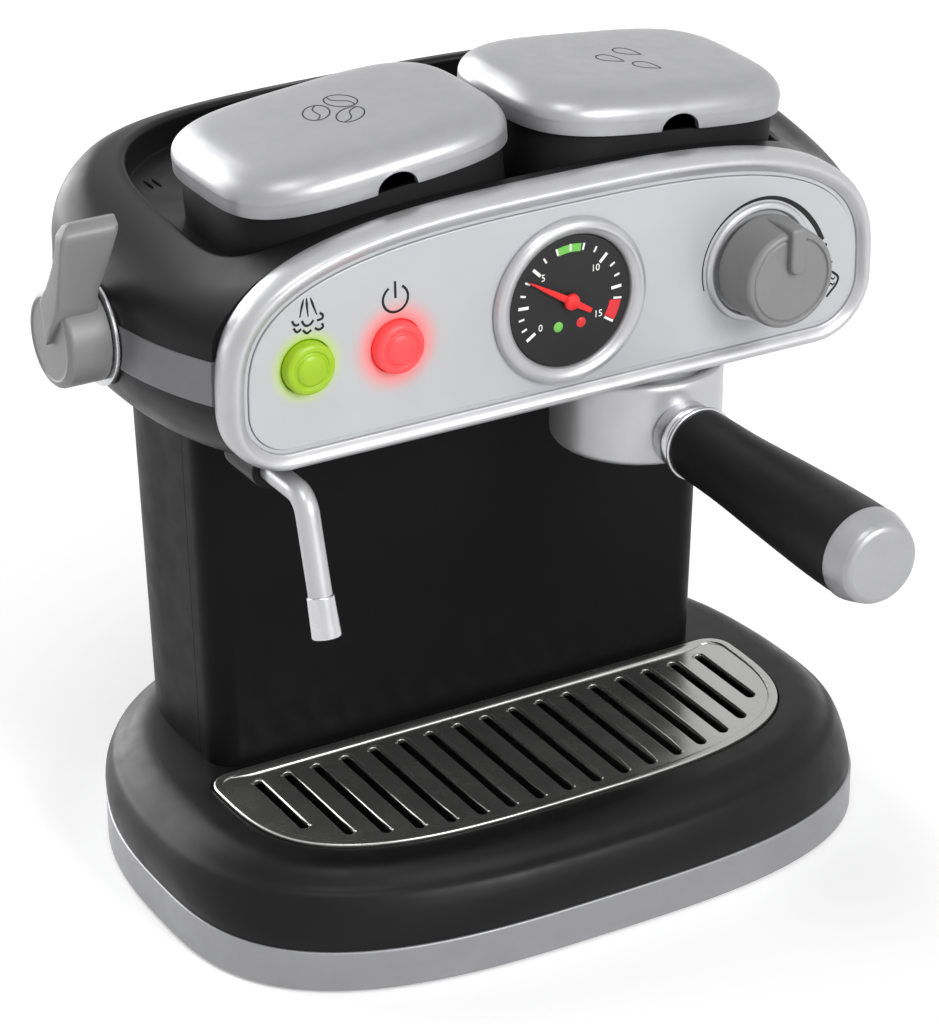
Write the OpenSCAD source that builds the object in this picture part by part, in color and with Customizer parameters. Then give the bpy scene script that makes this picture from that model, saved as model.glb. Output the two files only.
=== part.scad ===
// Toy coffee maker, in millimetres. +Z is up, the control panel faces -Y, +X is to the right of a person
// who faces the panel. The origin lies in the underside of the base plate, in the middle of the base, and
// the rubber feet reach a little lower.

/* [Base] */
// Width of the base over its widest line
base_w = 232; // [228:1:240]
// Depth of the base from front to rear
base_d = 182; // [178:1:190]
// Height of the silver plinth band
band_h = 12.2; // [11:0.2:14]
// Height of the deck above the base plate's underside
deck_h = 35.2; // [34.6:0.2:38]
// Wall of the moulded shells
wall = 2.4; // [2:0.1:2.8]

/* [Drip tray] */
// Half width of the drip grille
grille_hw = 93.5; // [92:0.5:95]
// Depth of the drip grille from front to rear
grille_d = 66; // [64:0.5:67]
// Distance from one slot of the grille to the next
slot_pitch = 10; // [9.5:0.1:10.2]
// Width of one slot
slot_w = 3.2; // [2.4:0.1:4]
// Depth of the tray below the deck
tray_depth = 16; // [12:0.5:18]

/* [Tower] */
// Half width of the tower at its foot
tower_hw = 87; // [84:0.5:88]
// Width of the ledge that the base keeps behind the tower
rear_ledge = 13; // [12:0.5:15]
// How much the tower widens on each side from foot to top
tower_flare = 3.2; // [2:0.1:4]

/* [Head] */
// Width of the head over its widest line
head_w = 240; // [238:1:242]
// Height of the head's rim above the base plate's underside
rim_z = 161.2; // [159:0.2:163]
// Height of the grey stripe
stripe_h = 13.5; // [12:0.5:14]
// Depth of the well that holds the two hoppers, below the crown of the head
well_depth = 17.5; // [16:0.5:18.5]

/* [Control panel] */
// Half width of the bezel
panel_hw = 108.3; // [107:0.1:109]
// Height of the bezel from its straight lower edge to the crown of the arch
panel_h = 69.2; // [68:0.2:70]
// Width of the bezel's rim
bezel_w = 7; // [6:0.5:8]
// Radius of the gauge dial
dial_r = 20.2; // [18:0.1:21]
// Radius of the front knob at its seat
knob_r = 15.3; // [14:0.1:16]
// Length of the front knob
knob_len = 14.8; // [12:0.2:18]
// Radius of the two push buttons
button_r = 7.7; // [7:0.1:8]
// Travel of a push button
button_travel = 2.5; // [2:0.1:3]

/* [Lids and hoppers] */
// Half length of a lid
lid_a = 45.3; // [44:0.1:45.5]
// Half depth of a lid
lid_b = 34.2; // [33:0.1:34.5]
// Height of a lid
lid_h = 12.4; // [11:0.1:14]
// Angle at which each lid leans outwards
lid_roll = 5.6; // [4:0.1:6]

/* [Filter holder] */
// Outer radius of the bowl
bowl_r = 26.1; // [25.8:0.1:27]
// Height of the bowl
bowl_h = 26; // [24:0.5:28]
// Length of the black grip
grip_len = 82.5; // [70:0.5:90]
// Radius of the grip where it meets the ferrule
grip_r0 = 12.1; // [11:0.1:12.3]
// Radius of the grip at its cap
grip_r1 = 13.45; // [12.5:0.05:14]

/* [Steam wand and lever] */
// Radius of the wand's tube
wand_r = 3.5; // [3:0.1:4]
// Radius of the lever's boss
lever_r = 14.2; // [13:0.1:15]
// Length of the lever's boss
lever_len = 13.3; // [12:0.1:15]

/* [Hidden] */
$fn = 48;
eps = 0.1;
// Radial clearance of shafts that turn in a bore
run_gap = 0.06;
// Gap between pieces that pass each other
gap = 0.3;

// Base
base_mid = -15;
base_front = base_d/2 + base_mid;
base_rear = base_d/2 - base_mid;
foot_h = 0.8;
foot_sink = 1.2;
screw_sink = 1.4;
floor_top = wall;
foot_r = 7;
feet_at = [[-88, -50], [88, -50], [-80, 52], [80, 52]];
base_bosses = [[-101, -20], [101, -20], [-60, 70], [60, 70]];
screw_r = 1.5;
screw_head_r = 3.2;

// Drip tray
grille_rear = -3.5;
grille_front = grille_rear - grille_d;
grille_t = 1.8;
flange_t = 1;
grille_top = deck_h + 1;
grille_z = grille_top - grille_t;
flange_z = grille_z - flange_t;
tray_z = deck_h - tray_depth;
slot_count = 17;

// Battery compartment
cell_r = 7.2;
cell_len = 50.5;
box_in_x = 29;
box_y0 = 12;
box_y1 = 58;
box_t = 1.6;
box_top = floor_top + 17.8;
tab_y = box_y0 - 10;
speaker_at = [66, 24];

// Tower
tower_front_y = -1;
tower_d = base_d/2 - rear_ledge - tower_front_y;
tower_split_y = 12;
tower_r_front = 9;
tower_r_rear = 45;
tower_bosses_front = [[-60, tower_front_y + wall + 4], [60, tower_front_y + wall + 4]];
tower_bosses_rear = [[-tower_hw + wall + 4, 35], [tower_hw - wall - 4, 35],
    [-38, tower_front_y + tower_d - wall - 8], [38, tower_front_y + tower_d - wall - 8]];

// Head
head_mid = 10;
head_front = 108;
head_rear = 80;
panel_back = -48;
stripe_z = rim_z + 20;
upper_z = stripe_z + stripe_h;
crown_z0 = rim_z + 22;
crown_h = 46.5;
well_z = crown_z0 + crown_h - well_depth;
well_mid = 10;
well_a = 95;
well_b = 65;
rear_crown_z = crown_z0 + 39.8;
dome_r = 11.5;

// Control panel
bezel_front = -59;
plate_front = -57;
plate_back = -54;
panel_z0 = rim_z - 0.7;
panel_mid = panel_z0 + 22.7;
panel_r = 20;
row_z = panel_z0 + 31;
gauge_x = 1.6;
gauge_z = row_z + 1.8;
gauge_ring_r = 25.4;
needle_angle = 148.5;
knob_x = 67;
knob_z = row_z + 0.2;
knob_y0 = plate_front - 1.9;
knob_y1 = knob_y0 - knob_len;
shaft_r = 3;
button_x = [-83.4, -55];
board_y = -43.1;
board_x = [button_x[0] - 10.8, button_x[1] + 10.8];
board_mid = (board_x[0] + board_x[1])/2;

// Water path
bowl_x = 40.7;
bowl_y = -33;
valve_r = 8;
plug_r = 5;
nipple_r = 3;
hose_r = 4.3;
neck_r = 12.5;
hose_z = rim_z + 10;
hose_bend = 6;

// Lids and hoppers
lid_x = 46.85;
lid_mid = 0.75;
lid_y = -8.9;
lid_z = crown_z0 + 48.5;
lid_n = 3.7;
hopper_in = 1.6;
hopper_t = 1.8;
hinge_y = lid_b + 1.8;
hinge_z = -2;
pin_r = 1.2;
knuckle_r = 2.2;
ear_x = 14;
ear_w = 6;
knuckle_x0 = ear_x + ear_w + 0.4;
knuckle_x1 = ear_x + 2*ear_w;
pin_x = knuckle_x1 + 0.5;
notch_r = 6.5;

// Filter holder
bowl_top = rim_z - 1.8;
bowl_z = bowl_top - bowl_h;
bowl_in = bowl_r - 3.5;
collar_r = bowl_in - gap;
lug_r = collar_r + 2.3;
handle_z = bowl_z + 10.8;
grip_y0 = 39.4;
cap_len = 7.5;
cap_face_r = 9.5;

// Steam wand and lever
wand_x = -86.5;
wand_z = rim_z - 7.5;
wand_bend = 7;
wand_tilt = atan(7/24);
wand_drop = 24.5;
wand_y0 = -24.5;
wand_y1 = -55;
wand_turn = 90 - wand_tilt;
nozzle_len = 12.2;
nozzle_r = wand_r + 0.8;
lever_y = 2.6;
lever_z = stripe_z + stripe_h/2;
lever_x = -head_w/2 - 0.9;
lever_shaft_r = 4;
washer_r = 16;
washer_t = 1.1;

// ---- Outlines -------------------------------------------------------------------------------------

function sgn(v) = v < 0 ? -1 : 1;

// A closed outline of superellipse halves: half width a, and from yc the depths bf forwards and bb
// backwards, with the exponents nf and nb.
function oval(a, yc, bf, bb, nf, nb, n = 72) = [for (i = [0:n - 1])
    let (c = cos(360*i/n), s = sin(360*i/n), e = s < 0 ? nf : nb, b = s < 0 ? bf : bb)
    [a*sgn(c)*pow(abs(c), 2/e), yc + b*sgn(s)*pow(abs(s), 2/e)]];

function arc(c, r, a0, a1, n) = [for (i = [0:n]) let (a = a0 + (a1 - a0)*i/n) c + r*[cos(a), sin(a)]];

function base_ring(o) = oval(base_w/2 + o, base_mid, base_front + o, base_rear + o, 3, 2.7);

function head_ring(o) = oval(head_w/2 + o, head_mid, head_front + o, head_rear + o, 2.4, 2.46);

function tower_ring(f, o) = let (w = tower_hw + f + o, y0 = tower_front_y - o,
    y1 = tower_front_y + tower_d + f + o, r0 = tower_r_front + o, r1 = tower_r_rear + o) concat(
    arc([w - r1, y1 - r1], r1, 0, 90, 10), arc([r1 - w, y1 - r1], r1, 90, 180, 10),
    arc([r0 - w, y0 + r0], r0, 180, 270, 5), arc([w - r0, y0 + r0], r0, 270, 360, 5));

// The D-shaped outline of grille and tray: straight at the rear, with round rear corners.
function tray_ring(o) = let (w = grille_hw + o, y1 = grille_rear + o, r = 8 + o, mid = grille_rear - 10.5)
    concat([for (i = [0:40]) let (t = 180 + 180*i/40, c = cos(t), s = sin(t))
        [w*sgn(c)*pow(abs(c), 2/3.2), mid + (mid - grille_front + o)*sgn(s)*pow(abs(s), 2/3.2)]],
        arc([w - r, y1 - r], r, 0, 90, 6), arc([r - w, y1 - r], r, 90, 180, 6));

// The bezel's outline in the X-Z plane: an arch over a straight lower edge with round corners.
function panel_ring(o) = let (w = panel_hw - o, h = panel_z0 + panel_h - panel_mid - o, r = panel_r - o,
    c = panel_z0 + panel_r) concat(
    [for (i = [0:36]) let (t = 180*i/36, u = cos(t), v = sin(t))
        [w*sgn(u)*pow(abs(u), 2/3), panel_mid + h*pow(v, 2/3)]],
    arc([panel_r - panel_hw, c], r, 180, 270, 6), arc([panel_hw - panel_r, c], r, 270, 360, 6));

// ---- Solids of general use ------------------------------------------------------------------------

// A solid through level outlines that all have the same number of points, from the lowest to the highest.
module loft(rings) {
    n = len(rings[0]);
    m = len(rings);
    polyhedron([for (r = rings) each r], concat([[for (i = [0:n - 1]) i]],
        [[for (i = [n - 1:-1:0]) (m - 1)*n + i]],
        [for (j = [0:m - 2], i = [0:n - 1]) let (k = (i + 1) % n)
            [j*n + i, (j + 1)*n + i, (j + 1)*n + k, j*n + k]]), convexity = 8);
}

// A closed tube of outlines, as a frame or a coil has: the last outline joins the first.
module closed_loft(rings) {
    n = len(rings[0]);
    m = len(rings);
    polyhedron([for (r = rings) each r], [for (j = [0:m - 1], i = [0:n - 1]) let (k = (i + 1) % n, l = (j + 1) % m)
        [j*n + i, l*n + i, l*n + k, j*n + k]], convexity = 8);
}

function lift(ring, z) = [for (p = ring) [p.x, p.y, z]];

// An outline given in the X-Z plane, set at the depth y.
function stand(ring, y) = [for (p = ring) [p.x, y, p.y]];

module slab(ring, z0, z1) translate([0, 0, z0]) linear_extrude(z1 - z0) polygon(ring);

// A plate that stands in the X-Z plane, from its rear at y0 to its front at y1.
module upright(y0, y1) translate([0, y0, 0]) rotate([90, 0, 0]) linear_extrude(y0 - y1) children();

// A rod along Y from y0 to y1, centred at x and z.
module rod_y(x, z, r, y0, y1) translate([x, max(y0, y1), z]) rotate([90, 0, 0]) cylinder(r = r, h = abs(y1 - y0));

// A rod along X from x0 to x1, centred at y and z.
module rod_x(y, z, r, x0, x1) translate([min(x0, x1), y, z]) rotate([0, 90, 0]) cylinder(r = r, h = abs(x1 - x0));

module post(p, r, z0, z1) translate([p.x, p.y, z0]) cylinder(r = r, h = z1 - z0);

// A screw that is driven upwards: flat head at z0, shank up to z1.
module screw_up(p, z0, z1) {
    post(p, screw_head_r, z0, z0 + screw_sink);
    post(p, screw_r, z0 + 1, z1);
}

module before_panel() translate([-200, panel_back - 100, 0]) cube([400, 100, 400]);

// ---- Base -----------------------------------------------------------------------------------------

module bottom_tray() color("silver") difference() {
    slab(base_ring(0.4), 0, band_h);
    slab(base_ring(-wall), floor_top, band_h + 1);
    for (p = feet_at) post(p, foot_r + 0.2, -1, foot_sink);
    for (p = base_bosses) {
        post(p, screw_head_r + gap, -1, screw_sink);
        post(p, screw_r + 0.1, -1, floor_top + 1);
    }
    translate([-box_in_x, box_y0, -1]) cube([2*box_in_x, box_y1 - box_y0, wall + 2]);
    translate([-6.3, tab_y, -1]) cube([12.6, 11, wall + 2]);
    for (a = [0:60:359]) post(speaker_at + 8*[cos(a), sin(a)], 1.2, -1, wall + 1);
}

module rubber_feet() color("dimgray") for (p = feet_at) post(p, foot_r, -foot_h, foot_sink);

module base_screws() color("gray") for (p = base_bosses) screw_up(p, 0, floor_top + 11);

module battery_box() color([0.15, 0.15, 0.15]) difference() {
    union() {
        translate([-box_in_x - box_t, box_y0 - box_t, floor_top])
            cube([2*(box_in_x + box_t), box_y1 - box_y0 + 2*box_t, box_top - floor_top]);
        post([0, tab_y + 5], 4, floor_top, floor_top + 11);
    }
    translate([-box_in_x, box_y0, floor_top - 1]) cube([2*box_in_x, box_y1 - box_y0, box_top - floor_top - box_t + 1]);
    post([0, tab_y + 5], screw_r + 0.05, floor_top - 1, floor_top + 9);
}

module battery_cells() color("goldenrod") for (i = [0:2]) {
    y = (box_y0 + box_y1)/2 + (i - 1)*15.4;
    s = i == 1 ? 1 : -1;
    rod_x(y, floor_top + 7.6, cell_r, -cell_len/2, cell_len/2);
    rod_x(y, floor_top + 7.6, 2.6, s*(cell_len/2 - 1), s*(cell_len/2 + 1));
}

module battery_contacts() color("silver") for (s = [-1, 1], i = [0:2]) {
    y = (box_y0 + box_y1)/2 + (i - 1)*15.4;
    plus = (i == 1) == (s > 0);
    translate([s > 0 ? box_in_x - 0.6 : -box_in_x, y - 5, floor_top + 2]) cube([0.6, 10, 11]);
    rod_x(y, floor_top + 7.6, 2.4, s*(cell_len/2 + (plus ? 1 : 0)), s*(box_in_x - 0.5));
}

module battery_door() color("silver") difference() {
    union() {
        translate([-box_in_x + gap, box_y0 + gap, 0]) cube([2*(box_in_x - gap), box_y1 - box_y0 - 2*gap, wall]);
        translate([-6, tab_y + gap, 0]) cube([12, 11, wall]);
    }
    post([0, tab_y + 5], screw_head_r + 0.2, -1, screw_sink);
    post([0, tab_y + 5], screw_r + 0.1, -1, wall + 1);
    for (i = [-2:2]) translate([-10, box_y1 - 12 + i*2.4, -eps]) cube([20, 1.1, 0.6 + eps]);
}

module door_screw() color("gray") screw_up([0, tab_y + 5], 0, floor_top + 8);

module speaker() color([0.2, 0.2, 0.2]) translate([speaker_at.x, speaker_at.y, floor_top]) rotate_extrude()
    polygon([[0, 0.5], [13, 0.5], [15, 0], [18, 0], [18, 3], [14, 3.6], [9, 7], [9, 11], [0, 11]]);

// The black base: a convex shoulder that rolls in to a flat deck, hollow below.
module base_shell() color([0.08, 0.08, 0.08]) difference() {
    union() {
        difference() {
            loft([for (p = [[0, band_h], [1.6, band_h + 3], [2.4, band_h + 7], [2.2, band_h + 11],
                [0.6, deck_h - 8], [-2.6, deck_h - 4.6], [-7, deck_h - 1.8], [-11, deck_h - 0.5],
                [-14.5, deck_h]]) lift(base_ring(p[0]), p[1])]);
            loft([for (p = [[-wall, band_h - eps], [1.4 - wall, band_h + 5], [1.2 - wall, deck_h - 12],
                [-2 - wall, deck_h - 7], [-9, deck_h - 3.6], [-16, deck_h - wall]]) lift(base_ring(p[0]), p[1])]);
        }
        for (p = base_bosses) post(p, 4.5, floor_top, deck_h - wall/2);
    }
    slab(tray_ring(-3), 0, deck_h + 1);
    slab(tray_ring(0.4), flange_z, deck_h + 1);
    for (p = base_bosses) post(p, screw_r + 0.05, floor_top - 1, floor_top + 13);
    for (p = concat(tower_bosses_front, tower_bosses_rear)) post(p, screw_r + 0.1, deck_h - 5, deck_h + 1);
}

module drip_tray() color([0.12, 0.12, 0.12]) difference() {
    union() {
        slab(tray_ring(-3.4), tray_z, flange_z + eps);
        slab(tray_ring(0), flange_z, grille_z);
    }
    slab(tray_ring(-5.2), tray_z + 1.8, deck_h + 2);
}

// The silver grille: a D-shaped plate with a raised rim, a bead along the rear and slots that run from
// front to rear, each as long as the plate's outline allows.
module drip_grille() color("silver") {
    difference() {
        slab(tray_ring(0), grille_z, grille_top - 0.6);
        for (i = [0:slot_count - 1]) slot((i - (slot_count - 1)/2)*slot_pitch);
    }
    difference() {
        slab(tray_ring(0), grille_top - 0.6, grille_top);
        slab(tray_ring(-2.2), grille_top - 1, grille_top + 1);
    }
}

function slot_end(x) = let (a = grille_hw - 8, mid = grille_rear - 10.5, b = mid - grille_front - 5.3)
    mid - b*pow(1 - pow(abs(x)/a, 3.2), 1/3.2);

module slot(x) {
    y0 = slot_end(x) + slot_w/2;
    y1 = grille_rear - 8.5 - slot_w/2;
    translate([x - slot_w/2, y0, grille_z - 1]) cube([slot_w, y1 - y0, 5]);
    for (y = [y0, y1]) post([x, y], slot_w/2, grille_z - 1, grille_top + 2);
}

// ---- Tower ----------------------------------------------------------------------------------------

module tower_walls() difference() {
    loft([lift(tower_ring(0, 0), deck_h), lift(tower_ring(tower_flare, 0), rim_z)]);
    loft([lift(tower_ring(0, -wall), deck_h - eps), lift(tower_ring(tower_flare, -wall), rim_z + eps)]);
}

module tower_front() color([0.1, 0.1, 0.1]) difference() {
    union() {
        intersection() {
            tower_walls();
            translate([-150, tower_front_y - 10, 0]) cube([300, tower_split_y - tower_front_y + 10, 250]);
        }
        for (p = tower_bosses_front) post(p, 4.5, deck_h, deck_h + 13);
    }
    for (p = tower_bosses_front) post(p, screw_r + 0.05, deck_h - 1, deck_h + 11);
}

module tower_rear() color([0.1, 0.1, 0.1]) difference() {
    union() {
        intersection() {
            tower_walls();
            translate([-150, tower_split_y, 0]) cube([300, 150, 250]);
        }
        for (p = tower_bosses_rear) post(p, 4.5, deck_h, deck_h + 13);
        for (i = [2, 3]) translate([tower_bosses_rear[i].x - 1, tower_bosses_rear[i].y, deck_h]) cube([2, 9, 13]);
    }
    for (p = tower_bosses_rear) post(p, screw_r + 0.05, deck_h - 1, deck_h + 11);
}

module tower_screws() color("gray")
    for (p = concat(tower_bosses_front, tower_bosses_rear)) screw_up(p, deck_h - wall - screw_sink, deck_h + 10);

// ---- Head -----------------------------------------------------------------------------------------

// The lower shell curves in from the stripe to a rim, and its floor carries the water fittings.
module head_lower() color([0.08, 0.08, 0.08]) difference() {
    loft([for (p = [[-11.7, 0], [-8.2, 3.2], [-5, 7.3], [-2.5, 12], [-0.9, 16.3], [-0.2, 20]])
        lift(head_ring(p[0]), rim_z + p[1])]);
    slab(head_ring(-14), rim_z + wall, stripe_z + 1);
    slab(head_ring(-7), rim_z + 10, stripe_z + 1);
    slab(head_ring(-wall - 0.9), rim_z + 16.3, stripe_z + 1);
    before_panel();
    post([bowl_x, bowl_y], neck_r + 0.1, rim_z - 1, rim_z + 5);
    rod_x(lever_y, lever_z, washer_r + 0.2, -140, -100);
}

module head_stripe() color([0.5, 0.5, 0.52]) difference() {
    slab(head_ring(0.35), stripe_z, upper_z);
    slab(head_ring(-wall - 0.5), stripe_z - 1, upper_z + 1);
    before_panel();
    rod_x(lever_y, lever_z, washer_r + 0.2, -140, -100);
}

// Height of the bezel's arch at x, and of the dome's top behind it: the dome starts just below the arch
// and rises towards the rear to a flatter crown.
function arch(x) = crown_z0 + crown_h*pow(1 - pow(min(abs(x)/panel_hw, 0.96), 3), 1/3);

function ease(u) = let (v = min(max(u, 0), 1)) v*v*(3 - 2*v);

function crown_top(x, y) = let (w = ease((y - panel_back)/144))
    (1 - w)*(arch(x) - 0.8) + w*(rear_crown_z + 1.4*pow(x/100, 2) - 3.7*pow(max(y - head_mid, 0)/77, 2));

// One outline of the dome: the share h of the way up, inset by o.
function crown(o, h, k = 1) = [for (p = head_ring(-o))
    let (x = p.x*k, y = head_mid + (p.y - head_mid)*k) [x, y, upper_z + h*(crown_top(x, y) - upper_z)]];

function well_ring(o) = oval(well_a + o, well_mid, well_mid - panel_back - 5 + o, well_b + o, 5.5, 2.8);

// The upper shell: a dome on the outline of the head, cut flat for the panel, with a well for the hoppers.
module head_upper() color([0.08, 0.08, 0.08]) difference() {
    loft(concat([crown(0, 0)], [for (i = [0:11]) let (t = 90*i/11)
        crown(dome_r*(1 - cos(t)), 0.28 + 0.72*sin(t))], [crown(dome_r, 1, 0.5), crown(dome_r, 1, 0.04)]));
    loft([for (p = [[5, -1], [5, 6.5], [24, well_z - wall - upper_z]]) lift(head_ring(-p[0]), upper_z + p[1])]);
    slab(well_ring(0), well_z, 300);
    before_panel();
    post([knob_x, bowl_y], 4.4, well_z - 5, well_z + 5);
    rod_x(lever_y, lever_z, washer_r + 0.2, -140, -100);
}

// ---- Control panel --------------------------------------------------------------------------------

// The bezel is swept round the arch: its section rolls over from the side wall to the inner edge.
module panel_bezel() color("silver") closed_loft([for (p = [[0.8, panel_back], [0, panel_back - 2],
    [0, bezel_front + 4.5], [0.5, bezel_front + 2.2], [1.8, bezel_front + 0.6], [3.6, bezel_front],
    [5.4, bezel_front + 0.4], [bezel_w - 0.4, bezel_front + 1.6], [bezel_w, bezel_front + 3],
    [bezel_w, panel_back]]) stand(panel_ring(p[0]), p[1])]);

module face_plate() color([0.8, 0.8, 0.8]) difference() {
    union() {
        upright(plate_back, plate_front + 0.6) polygon(panel_ring(bezel_w + 0.1));
        upright(plate_back, plate_front) polygon(panel_ring(bezel_w + 2.4));
        for (x = board_x, z = [-7.2, 7.2]) rod_y(x + sign(board_mid - x)*2.2, row_z + z, 1.8, plate_back - 1, board_y);
    }
    rod_y(gauge_x, gauge_z, dial_r + 0.1, -70, -40);
    rod_y(knob_x, knob_z, shaft_r + 0.1, -70, -40);
    for (x = button_x) rod_y(x, row_z, button_r + gap, -70, -40);
}

// Places a solid of revolution so that its axis runs forwards from (x, z) and its profile's height
// counts forwards from the plane y.
module face_on(x, y, z) translate([x, y, z]) rotate([90, 0, 0]) rotate_extrude() children();

module gauge_ring() color("gainsboro") face_on(gauge_x, plate_front, gauge_z)
    polygon([[dial_r + 0.1, 0], [gauge_ring_r, 0], [gauge_ring_r, 1.2], [gauge_ring_r - 0.9, 2.6],
        [gauge_ring_r - 2.4, 3.2], [dial_r + 1.4, 2.6], [dial_r + 0.1, 1.2]]);

module gauge_dial() color([0.05, 0.05, 0.05]) difference() {
    rod_y(gauge_x, gauge_z, dial_r, plate_back, plate_front - 0.6);
    rod_y(gauge_x, gauge_z, 0.8 + run_gap, -70, -40);
}

module gauge_needle() color("red") translate([gauge_x, plate_front - 1.2, gauge_z]) rotate([90, 0, 0]) {
    cylinder(r = 2.5, h = 1.6);
    rotate(needle_angle) linear_extrude(0.8) polygon([[-7.7, -0.9], [-7.7, 0.9], [0, 1.1], [16.4, 0.3], [16.4, -0.3], [0, -1.1]]);
    translate([0, 0, -4]) cylinder(r = 0.8, h = 4.5);
}

module knob_seat() color("gainsboro") face_on(knob_x, plate_front, knob_z)
    polygon([[knob_r + 0.5, 0], [knob_r + 3.2, 0], [knob_r + 2.8, 0.9], [knob_r + 1.4, 1.2], [knob_r + 0.5, 0.8]]);

// The front knob: a drum with a shallow ring in its face and a bar that points upwards.
module front_knob() color([0.55, 0.55, 0.55]) difference() {
    union() {
        face_on(knob_x, knob_y0, knob_z) polygon([[0, 0], [knob_r - 0.4, 0], [knob_r, 0.4], [knob_r - 0.5, knob_len - 0.9],
            [knob_r - 1.1, knob_len - 0.2], [knob_r - 1.9, knob_len], [knob_r - 2.1, knob_len - 0.5],
            [knob_r - 2.5, knob_len - 0.4], [knob_r - 2.7, knob_len - 0.1], [0, knob_len - 0.1]]);
        upright(knob_y0 - 1.2, knob_y1 - 1.3) translate([knob_x, knob_z]) {
            translate([-2.5, 4.4]) square([5, knob_r - 3.4]);
            translate([0, 4.4]) circle(2.5);
        }
    }
    rod_y(knob_x, knob_z, shaft_r + 0.04, knob_y0 + 1, knob_y1 + 3);
}

// The knob's shaft ends in the valve's plug, which is drilled across.
module knob_shaft() color("white") difference() {
    union() {
        rod_y(knob_x, knob_z, shaft_r, knob_y1 + 3.3, -45);
        rod_y(knob_x, knob_z, plug_r, -45.6, bowl_y + 8);
    }
    rod_x(bowl_y, knob_z, 1.6, knob_x - 10, knob_x + 10);
}

module valve_body() color("ivory") difference() {
    union() {
        rod_y(knob_x, knob_z, valve_r, -45.6, bowl_y + 11);
        post([knob_x, bowl_y], 5.6, knob_z, well_z - wall - 2);
        post([knob_x, bowl_y], nipple_r, hose_z + hose_bend + gap, knob_z);
    }
    rod_y(knob_x, knob_z, plug_r + run_gap, -50, bowl_y + 8.2);
    post([knob_x, bowl_y], 4.06, knob_z + valve_r - 1, well_z + 1);
    post([knob_x, bowl_y], 1.6, knob_z - valve_r - 9, knob_z + valve_r);
}

// The hose hangs from the valve, bends through a right angle and ends at the group head.
module water_hose() color("whitesmoke") {
    low = knob_z - valve_r - gap;
    bend_z = hose_z + hose_bend;
    translate([knob_x, bowl_y, bend_z]) hose_straight(low - bend_z);
    translate([knob_x - hose_bend, bowl_y, bend_z]) rotate([90, 0, 0]) rotate_extrude(angle = -90)
        translate([hose_bend, 0]) ring2d(hose_r, nipple_r + 0.05);
    translate([knob_x - hose_bend, bowl_y, hose_z]) rotate([0, -90, 0]) hose_straight(knob_x - hose_bend - bowl_x - 7.3);
}

module ring2d(r_out, r_in) difference() {
    circle(r_out);
    circle(r_in);
}

module hose_straight(h) linear_extrude(h) ring2d(hose_r, nipple_r + 0.05);

// The group head: a collar with two bayonet lugs hangs below the head, and its neck passes the head's
// floor to a flange and a water inlet.
module group_head() color("silver") translate([bowl_x, bowl_y, 0]) difference() {
    flange_r = bowl_y - panel_back - 0.4;
    union() {
        rotate_extrude() polygon([[0, bowl_top - 11], [3.6, bowl_top - 11], [3.6, bowl_top - 3], [17.5, bowl_top - 3],
            [18.5, bowl_top - 6.7], [collar_r, bowl_top - 6.7], [collar_r, panel_z0 - gap], [flange_r, panel_z0 - gap],
            [flange_r, rim_z], [neck_r, rim_z], [neck_r, rim_z + wall], [flange_r, rim_z + wall],
            [flange_r, rim_z + wall + 2], [7, rim_z + wall + 2], [7, hose_z + 4.5], [0, hose_z + 4.5]]);
        for (a = [0, 180]) translate([0, 0, bowl_top - 6]) rotate(a - 15) rotate_extrude(angle = 30)
            translate([collar_r - 1, 0]) square([lug_r - collar_r + 1, 2.8]);
        translate([0, 0, hose_z]) rotate([0, 90, 0]) cylinder(r = nipple_r, h = 14);
    }
    translate([0, 0, bowl_top - 12]) cylinder(r = 1.8, h = hose_z - bowl_top + 12);
    translate([0, 0, hose_z]) rotate([0, 90, 0]) cylinder(r = 1.8, h = 15);
}

// A push button: domed cap with a ring round its crown, a flange behind the plate and a stem.
module button_cap(x) difference() {
    union() {
        face_on(x, plate_back + 1.6, row_z) polygon([[0, 0], [button_r + 1.5, 0], [button_r + 1.5, 1.2], [button_r, 1.2],
            [button_r, 7.2], [button_r - 0.5, 7.8], [button_r - 2, 8.1], [button_r - 2.3, 7.7], [button_r - 2.9, 7.7],
            [button_r - 3.3, 8.4], [button_r - 5, 8.9], [0, 9.2]]);
        rod_y(x, row_z, 2.2, plate_back + 1.6, board_y - 7);
    }
    translate([x, plate_back + 2, row_z]) rotate([90, 0, 0]) difference() {
        cylinder(r = button_r - 1.5, h = 6.5);
        translate([0, 0, -1]) cylinder(r = 2.2, h = 9);
    }
}

module green_button() color("yellowgreen") button_cap(button_x[0]);

module red_button() color("tomato") button_cap(button_x[1]);

// A compression spring of round wire between the board and the button's flange.
module button_spring(x) translate([x, board_y, row_z]) rotate([90, 0, 0]) {
    r = button_r - 1.1;
    wire = 0.4;
    top = board_y - plate_back - 1.6 - 2*wire - 0.2;
    steps = 52;
    loft([for (i = [0:steps]) let (a = i*360*4/steps, z = wire + 0.1 + top*i/steps)
        [for (k = [0:5]) let (b = -60*k) [(r + wire*cos(b))*cos(a), (r + wire*cos(b))*sin(a), z + wire*sin(b)]]]);
}

module green_spring() color("silver") button_spring(button_x[0]);

module red_spring() color("silver") button_spring(button_x[1]);

module button_board() color("darkgreen") {
    translate([board_x[0], board_y, row_z - 9]) cube([board_x[1] - board_x[0], 1.6, 18]);
    for (x = button_x) {
        translate([x - 3, board_y - 3.5, row_z - 3]) cube([6, 3.6, 6]);
        rod_y(x, row_z, 1.7, board_y, board_y - 4.1);
    }
}

module button_lamps() color("white") for (x = button_x) rod_y(x, row_z + 4.3, 1.1, board_y, board_y - 3.2);

// ---- Side lever -----------------------------------------------------------------------------------

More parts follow.
